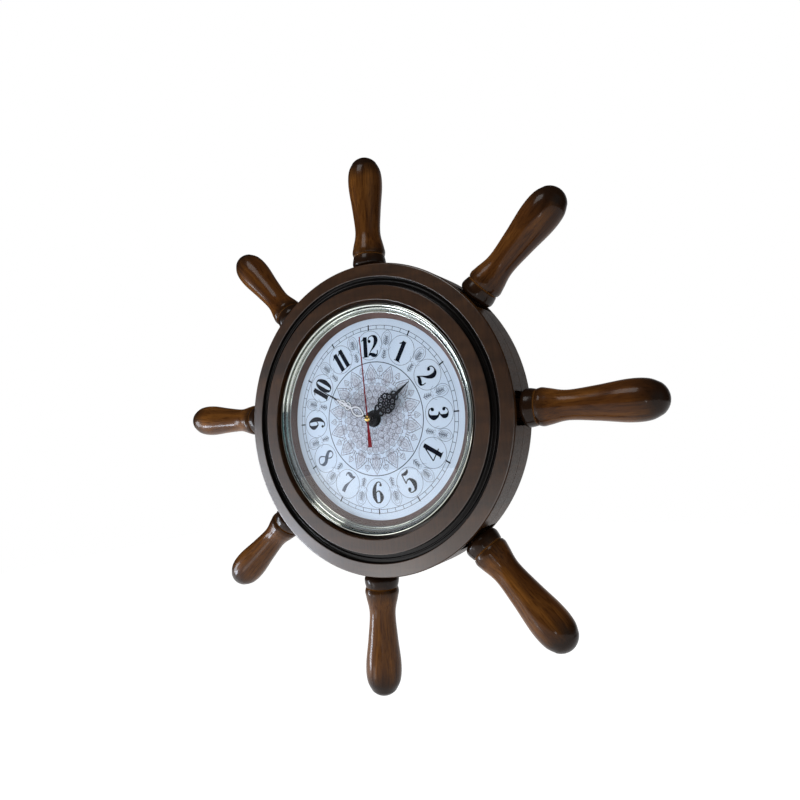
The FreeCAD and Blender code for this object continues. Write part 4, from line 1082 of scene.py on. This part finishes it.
def make_hour_hand():
    """Scrolls at the boss, a pierced rosette and a spear."""
    y = hour_back - sheet
    rosette_middle = 19.5
    rosette_rings = 8
    bm = bmesh.new()
    stroke(bm, [(0, 3, 1.8), (0, 9, 1.6), (0, 12, 1.4)], hour_turn, y)
    stroke(bm, [(0, 26.5, 2.0), (0, 29, 1.9), (0, 31, 1.2), (0, 34, 1.35), (0, 38, 0.95), (0, 47, 0.15)],
           hour_turn, y, 4)
    x, z, _ = turned([(0, rosette_middle, 0)], hour_turn)[0]
    ring(bm, x, z, 1.5, 0.6, y, 24)
    ring(bm, x, z, 3.7, 0.42, y - 0.001, 40)
    for number in range(rosette_rings):
        turn = FULL_TURN * (number + 0.5) / rosette_rings
        spots = (polar(6.0, turn), polar(2.6, turn), polar(7.9, turn + math.pi / rosette_rings))
        outer, inner, gap = turned([(spot.x, rosette_middle + spot.y, 0) for spot in spots], hour_turn)
        ring(bm, *outer[:2], 2.2, 0.62, y - 0.002 - 0.0005 * number, 22)
        disc(bm, *outer[:2], 0.8, y - 0.002, 12)
        disc(bm, *inner[:2], 0.75, y - 0.007, 12)
        disc(bm, *gap[:2], 0.95, y - 0.008, 12)
    for side in (-1, 1):
        scroll = [(side * 1.2, 7.2, 0.7), (side * 3.4, 8.2, 0.9), (side * 4.9, 10.6, 0.8),
                  (side * 3.9, 12.6, 0.7), (side * 2.4, 11.8, 0.6)]
        leaf = [(side * 1.4, 27.5, 0.7), (side * 3.6, 28.6, 0.8), (side * 3.2, 31.0, 0.6),
                (side * 1.0, 32.2, 0.5)]
        stroke(bm, scroll, hour_turn, y - 0.009)
        stroke(bm, leaf, hour_turn, y - 0.01)
    thicken(bm, sheet)
    boss(bm, [(2.56, hour_back), (5.5, hour_back), (5.7, hour_back - 0.2), (5.7, hour_back - 0.9),
              (5.3, hour_back - 1.3), (2.56, hour_back - 1.3)])
    finish("pierced_hour_hand", bm, black_enamel, body="hours", replaces=("hour_hand",))


make_hour_hand()

# %% [markdown]
# The minute hand is slender, with an open loop, two pairs of scrolls and a long thin pointer. Its broad
# parts carry a painted highlight: bright metal on the front stands in for the light that the black metal
# mirrors, and their edges stay black. Two finishes on one sheet could be picked face by face, but the same
# strokes drawn twice, broad in black and narrow in bright metal, leave an even black edge all round.

# %% Minute hand
EDGE = 0.5
HIGHLIGHT_EXTRA = 0.12


def make_minute_hand():
    """A black hand with an open loop and scrolls, with a painted highlight of bright metal on its broad
    parts.
    """
    y = minute_back - sheet
    body = bmesh.new()
    highlight_strokes = bmesh.new()
    loop = [(0, 7.0, 0.6), (2.7, 10.5, 0.65), (3.4, 14, 0.6), (2.3, 17.4, 0.6), (0, 19.6, 0.55),
            (-2.3, 17.4, 0.6), (-3.4, 14, 0.6), (-2.7, 10.5, 0.65)]
    spine = [(0, 19.4, 0.8), (0, 23.0, 0.7), (0, 26, 1.0), (0, 30, 0.8), (0, 37, 0.4)]
    strokes = [(spine, False), (loop, True)]
    for side in (-1, 1):
        strokes.append(([(side * 0.5, 21.4, 0.4), (side * 2.4, 22.8, 0.5), (side * 2.8, 25.2, 0.45),
                         (side * 1.3, 26.4, 0.4)], False))
        strokes.append(([(side * 0.5, 27.0, 0.45), (side * 2.2, 29.0, 0.5), (side * 1.8, 31.8, 0.4),
                         (side * 0.3, 33.8, 0.3)], False))
    # Each stroke is drawn twice: broad in black metal, and narrow as the painted highlight on its front.
    for number, (points, closed) in enumerate(strokes):
        for bm, extra, lift in ((body, EDGE, 0), (highlight_strokes, HIGHLIGHT_EXTRA, 0.03)):
            wider = [(x, z, half + extra) for x, z, half in points]
            stroke(bm, wider, minute_turn, y - lift - 0.001 * number, 6, closed)
    stroke(body, [(0, 2, 1.1), (0, 7.5, 1.0)], minute_turn, y)
    stroke(body, [(0, 34, 0.85), (0, 42, 0.6), (0, 53.5, 0.15)], minute_turn, y)
    thicken(body, sheet)
    thicken(highlight_strokes, 0.05)
    boss(body, [(1.56, minute_back), (3.1, minute_back), (3.2, minute_back - 0.1), (3.2, minute_back - 0.9),
                (2.9, minute_back - 1.2), (1.56, minute_back - 1.2)])
    finish("open_minute_hand", body, black_enamel, body="minutes",
           replaces=("minute_hand",))
    # The bright strokes are a painted highlight, standing in for light that the black metal mirrors.
    finish("minute_hand_painted_highlight", highlight_strokes, painted_highlight_silver, body="minutes")


make_minute_hand()

# %% [markdown]
# The second hand is one long red stroke with a tail that widens, and a small tube that grips its arbor. A
# domed brass cap covers the end of the arbor and turns with it.

# %% Second hand and cap


def make_second_hand():
    """A long red needle with a widening tail."""
    needle = 0.3
    bm = bmesh.new()
    stroke(bm, [(0, -23.5, 1.6), (0, -23.0, 1.85), (0, -22.0, 1.9), (0, -12, 1.3), (0, -2, 0.65),
                (0, 6, 0.58), (0, 68, 0.42)], second_turn, second_back - needle, 3)
    thicken(bm, needle)
    boss(bm, [(0.56, second_back + 1.3), (1.2, second_back + 1.3), (1.2, second_back - 0.25),
              (0.56, second_back - 0.25)], 32)
    finish("red_second_hand", bm, red_enamel, body="seconds", replaces=("second_hand",))


make_second_hand()
cap_back = second_back - 0.3
cap_outline = [(0, cap_back), (2.5, cap_back), (2.6, cap_back - 0.1)] + dome(2.6, cap_back - 0.4, 1.4, 10)
finish("brass_cap", lathe(cap_outline, 48, closed=False), brass, body="seconds", angle=30,
       replaces=("hand_cap",))

# %% [markdown]
# Movement, battery, screws, hanger and dial plate are plain shapes that the CAD model already holds. They
# could be made again, but nothing would be gained, so they stay as they are, and each gets its finish.

# %% Parts that stay
nickel = mottled("nickel", (150, 146, 138), (176, 172, 164), (0.2, 0.34), 300, 0.05, Metallic=1.0)
steel = mottled("steel", (120, 122, 124), (152, 154, 156), (0.28, 0.45), 250, 0.08, (1, 1, 8), Metallic=1.0)
copper = mottled("copper", (150, 78, 40), (190, 104, 58), (0.25, 0.4), 400, 0.3, (30, 1, 1), Metallic=1.0)
rubber = mottled("rubber", (22, 22, 23), (34, 34, 35), (0.65, 0.8), 200, 0.2)
black_plastic = mottled("black_plastic", (24, 24, 26), (34, 34, 36), (0.42, 0.58), 160, 0.25)
white_plastic = mottled("white_plastic", (206, 204, 196), (222, 220, 214), (0.4, 0.5), 160, 0.08)
knob_plastic = mottled("knob_plastic", (190, 190, 186), (206, 206, 202), (0.35, 0.5), 200, 0.1)
battery_paint = mottled("battery_paint", (40, 44, 58), (56, 60, 74), (0.28, 0.4), 120, 0.04)
board_green = mottled("board_green", (26, 70, 44), (40, 92, 58), (0.35, 0.5), 220, 0.08)
magnet_grey = mottled("magnet_grey", (64, 64, 68), (88, 88, 92), (0.45, 0.6), 260, 0.1)

finished_parts = (
    (paper, "dial_plate"), (steel, "hanger_plate stator"), (rubber, "rubber_washer"),
    (nickel, "hanger_screws board_screws contact_minus contact_plus quartz_crystal"),
    (black_enamel, "plain_washer fixing_nut"), (black_plastic, "movement_case movement_cover"),
    (battery_paint, "battery"), (copper, "coil_winding"), (board_green, "circuit_board"),
    (magnet_grey, "rotor_magnet"), (knob_plastic, "setting_knob"),
    (white_plastic, "train_bridge coil_bobbin rotor_pinion intermediate_wheel second_wheel third_wheel "
                    "centre_wheel motion_wheel hour_wheel"),
)
for material, names in finished_parts:
    for name in names.split():
        mesh = nodes[name].data
        mesh.materials.clear()
        mesh.materials.append(material)
    print(material.name, "on", names)

# %% [markdown]
# The camera stands to the right of the clock and a little below its middle, with a wide lens, as was found
# by fitting its place to the circles of the dial and the moulding.

# %% Camera
camera_data = bpy.data.cameras.new("camera")
camera_data.lens = 26.325
camera_data.sensor_width = 36
camera_data.shift_y = -0.0054
camera = bpy.data.objects.new("camera", camera_data)
camera.location = (0.2727, -0.4253, -0.0945)
camera.rotation_euler = [math.radians(angle) for angle in (94.5119, 3.6867, 31.7948)]
bpy.context.scene.collection.objects.link(camera)
bpy.context.scene.camera = camera
print("camera at", [round(value, 3) for value in camera.location])

# %% [markdown]
# Five soft lamps light the clock: two weak ones from the camera's side and from below in front, two from
# the left for the sheen on the lower left of the lacquer, and one from above. They are placed by angle about
# the clock, which makes it easy to keep them out of the directions that the domed glass mirrors to the
# camera. A lamp in there would show as a hard white patch.

# %% Lamps


def around_clock(distance, azimuth, elevation):
    """A point at a distance from the clock's middle, azimuth to the right of its front."""
    azimuth, elevation = math.radians(azimuth), math.radians(elevation)
    flat = distance * math.cos(elevation)
    away = Vector((flat * math.sin(azimuth), -flat * math.cos(azimuth), distance * math.sin(elevation)))
    return clock_middle + away


def lamp(name, place, size, power, shade=(1, 1, 1)):
    """A soft rectangular lamp that looks at the clock's middle."""
    data = bpy.data.lights.new(name, "AREA")
    data.shape = "RECTANGLE"
    data.size, data.size_y = size
    data.energy = power
    data.color = shade
    obj = bpy.data.objects.new(name, data)
    obj.location = place
    obj.rotation_euler = (clock_middle - place).to_track_quat("-Z", "Y").to_euler()
    obj.visible_camera = False
    bpy.context.scene.collection.objects.link(obj)
    print(name, "lamp at", [round(value, 2) for value in place])


lamp("near_camera", around_clock(1.2, 25, -12), (0.1, 0.1), 0.3)
lamp("key", around_clock(0.75, -30, -34), (0.18, 0.18), 0.32)
lamp("left", around_clock(1.3, -67, -10), (0.3, 0.45), 5.5, (0.84, 0.91, 1))
lamp("low_left", around_clock(0.9, -60, -24), (0.15, 0.15), 2.2, (0.78, 0.86, 1))
lamp("above", around_clock(1.5, -8, 52), (0.6, 0.6), 5)

# %% [markdown]
# The background is white and the clock is dark. Strong light all round would wash the lacquer out, so Light
# Path nodes tell the rays apart. The camera sees plain white. Polished parts mirror a bright wall behind the
# clock, a window at the left, a sea-blue patch at the right, and next to nothing elsewhere. What is seen
# through the glass is that wall alone, and a third of full strength lights everything evenly.

# %% World
MIRRORED_DARK = 0.025
THROUGH_GLASS_DARK = 0.05
SOFT_LIGHT = 0.33
SKY_STRENGTH = 0.4


def largest(tree, *values):
    """The largest of some sockets or plain numbers."""
    result = values[0]
    for value in values[1:]:
        result = calculated(tree, "MAXIMUM", result, value)
    return result


def towards(tree, direction, power):
    """How nearly a ray of the world points along a direction, from 0 to 1."""
    way = node(tree, "ShaderNodeTexCoord")
    dot = node(tree, "ShaderNodeVectorMath", operation="DOT_PRODUCT")
    dot.inputs[1].default_value = Vector(direction).normalized()
    tree.links.new(way.outputs["Generated"], dot.inputs[0])
    return calculated(tree, "POWER", largest(tree, dot.outputs["Value"], 0.0), power)


world = bpy.data.worlds.new("studio")
bpy.context.scene.world = world
world.use_nodes = True
tree = world.node_tree
rays = node(tree, "ShaderNodeLightPath").outputs
wall = towards(tree, (0, 1, 0), 8.0)
window = towards(tree, (-0.82, -0.54, -0.18), 20.0)
sky = towards(tree, (0.9, -0.4, 0.1), 8.0)
mirrored = largest(tree, wall, window, calculated(tree, "MULTIPLY", sky, SKY_STRENGTH), MIRRORED_DARK)
glossy_part = calculated(tree, "MULTIPLY", rays["Is Glossy Ray"], mirrored)
through_glass = largest(tree, wall, THROUGH_GLASS_DARK)
glass_part = calculated(tree, "MULTIPLY", rays["Is Transmission Ray"], through_glass)
diffuse_part = calculated(tree, "MULTIPLY", rays["Is Diffuse Ray"], SOFT_LIGHT)
strength = largest(tree, rays["Is Camera Ray"], glossy_part, glass_part, diffuse_part)
window_part = calculated(tree, "MULTIPLY", rays["Is Glossy Ray"], window)
sky_part = calculated(tree, "MULTIPLY", rays["Is Glossy Ray"], sky)
window_shade = mixed(tree, window_part, white, (0.84, 0.9, 1, 1))
background = tree.nodes["Background"]
tree.links.new(mixed(tree, sky_part, window_shade, (0.15, 0.62, 0.75, 1)), background.inputs["Color"])
tree.links.new(strength, background.inputs["Strength"])
print("world", len(tree.nodes), "nodes")

# %% [markdown]
# A white floor lies well below the clock. It could be left out, since the clock hangs on a wall, but with it
# the chrome and the lacquer mirror a bright ground, as they do in a photo studio. Like the world it shines
# for the camera, for metal and for glass, and it keeps the shadows that fall on it.

# %% Floor
FLOOR_HEIGHT = -0.62
FLOOR_GLOW = 0.75


def make_floor_white():
    """White floor whose own light only shows to camera, glossy and transmission rays."""
    material, tree, shader = start_material("floor_white", Roughness=0.8)
    tint = noise(tree, coordinates(tree), 2, 2)
    tree.links.new(ramp(tree, tint, [(0.3, (248, 248, 248)), (0.7, WHITE)]), shader.inputs["Base Color"])
    rays = node(tree, "ShaderNodeLightPath").outputs
    shown = largest(tree, rays["Is Camera Ray"], rays["Is Glossy Ray"], rays["Is Transmission Ray"])
    tree.links.new(calculated(tree, "MULTIPLY", shown, FLOOR_GLOW), shader.inputs["Emission Strength"])
    shader.inputs["Emission Color"].default_value = white
    return material


floor_mesh = bpy.data.meshes.new("floor")
floor_bm = bmesh.new()
bmesh.ops.create_grid(floor_bm, x_segments=1, y_segments=1, size=3)
floor_bm.to_mesh(floor_mesh)
floor_bm.free()
floor_mesh.materials.append(make_floor_white())
floor = bpy.data.objects.new("floor", floor_mesh)
floor.location = (0, 0, FLOOR_HEIGHT)
bpy.context.scene.collection.objects.link(floor)
bpy.context.scene.view_settings.view_transform = "Standard"
print("floor at", FLOOR_HEIGHT)
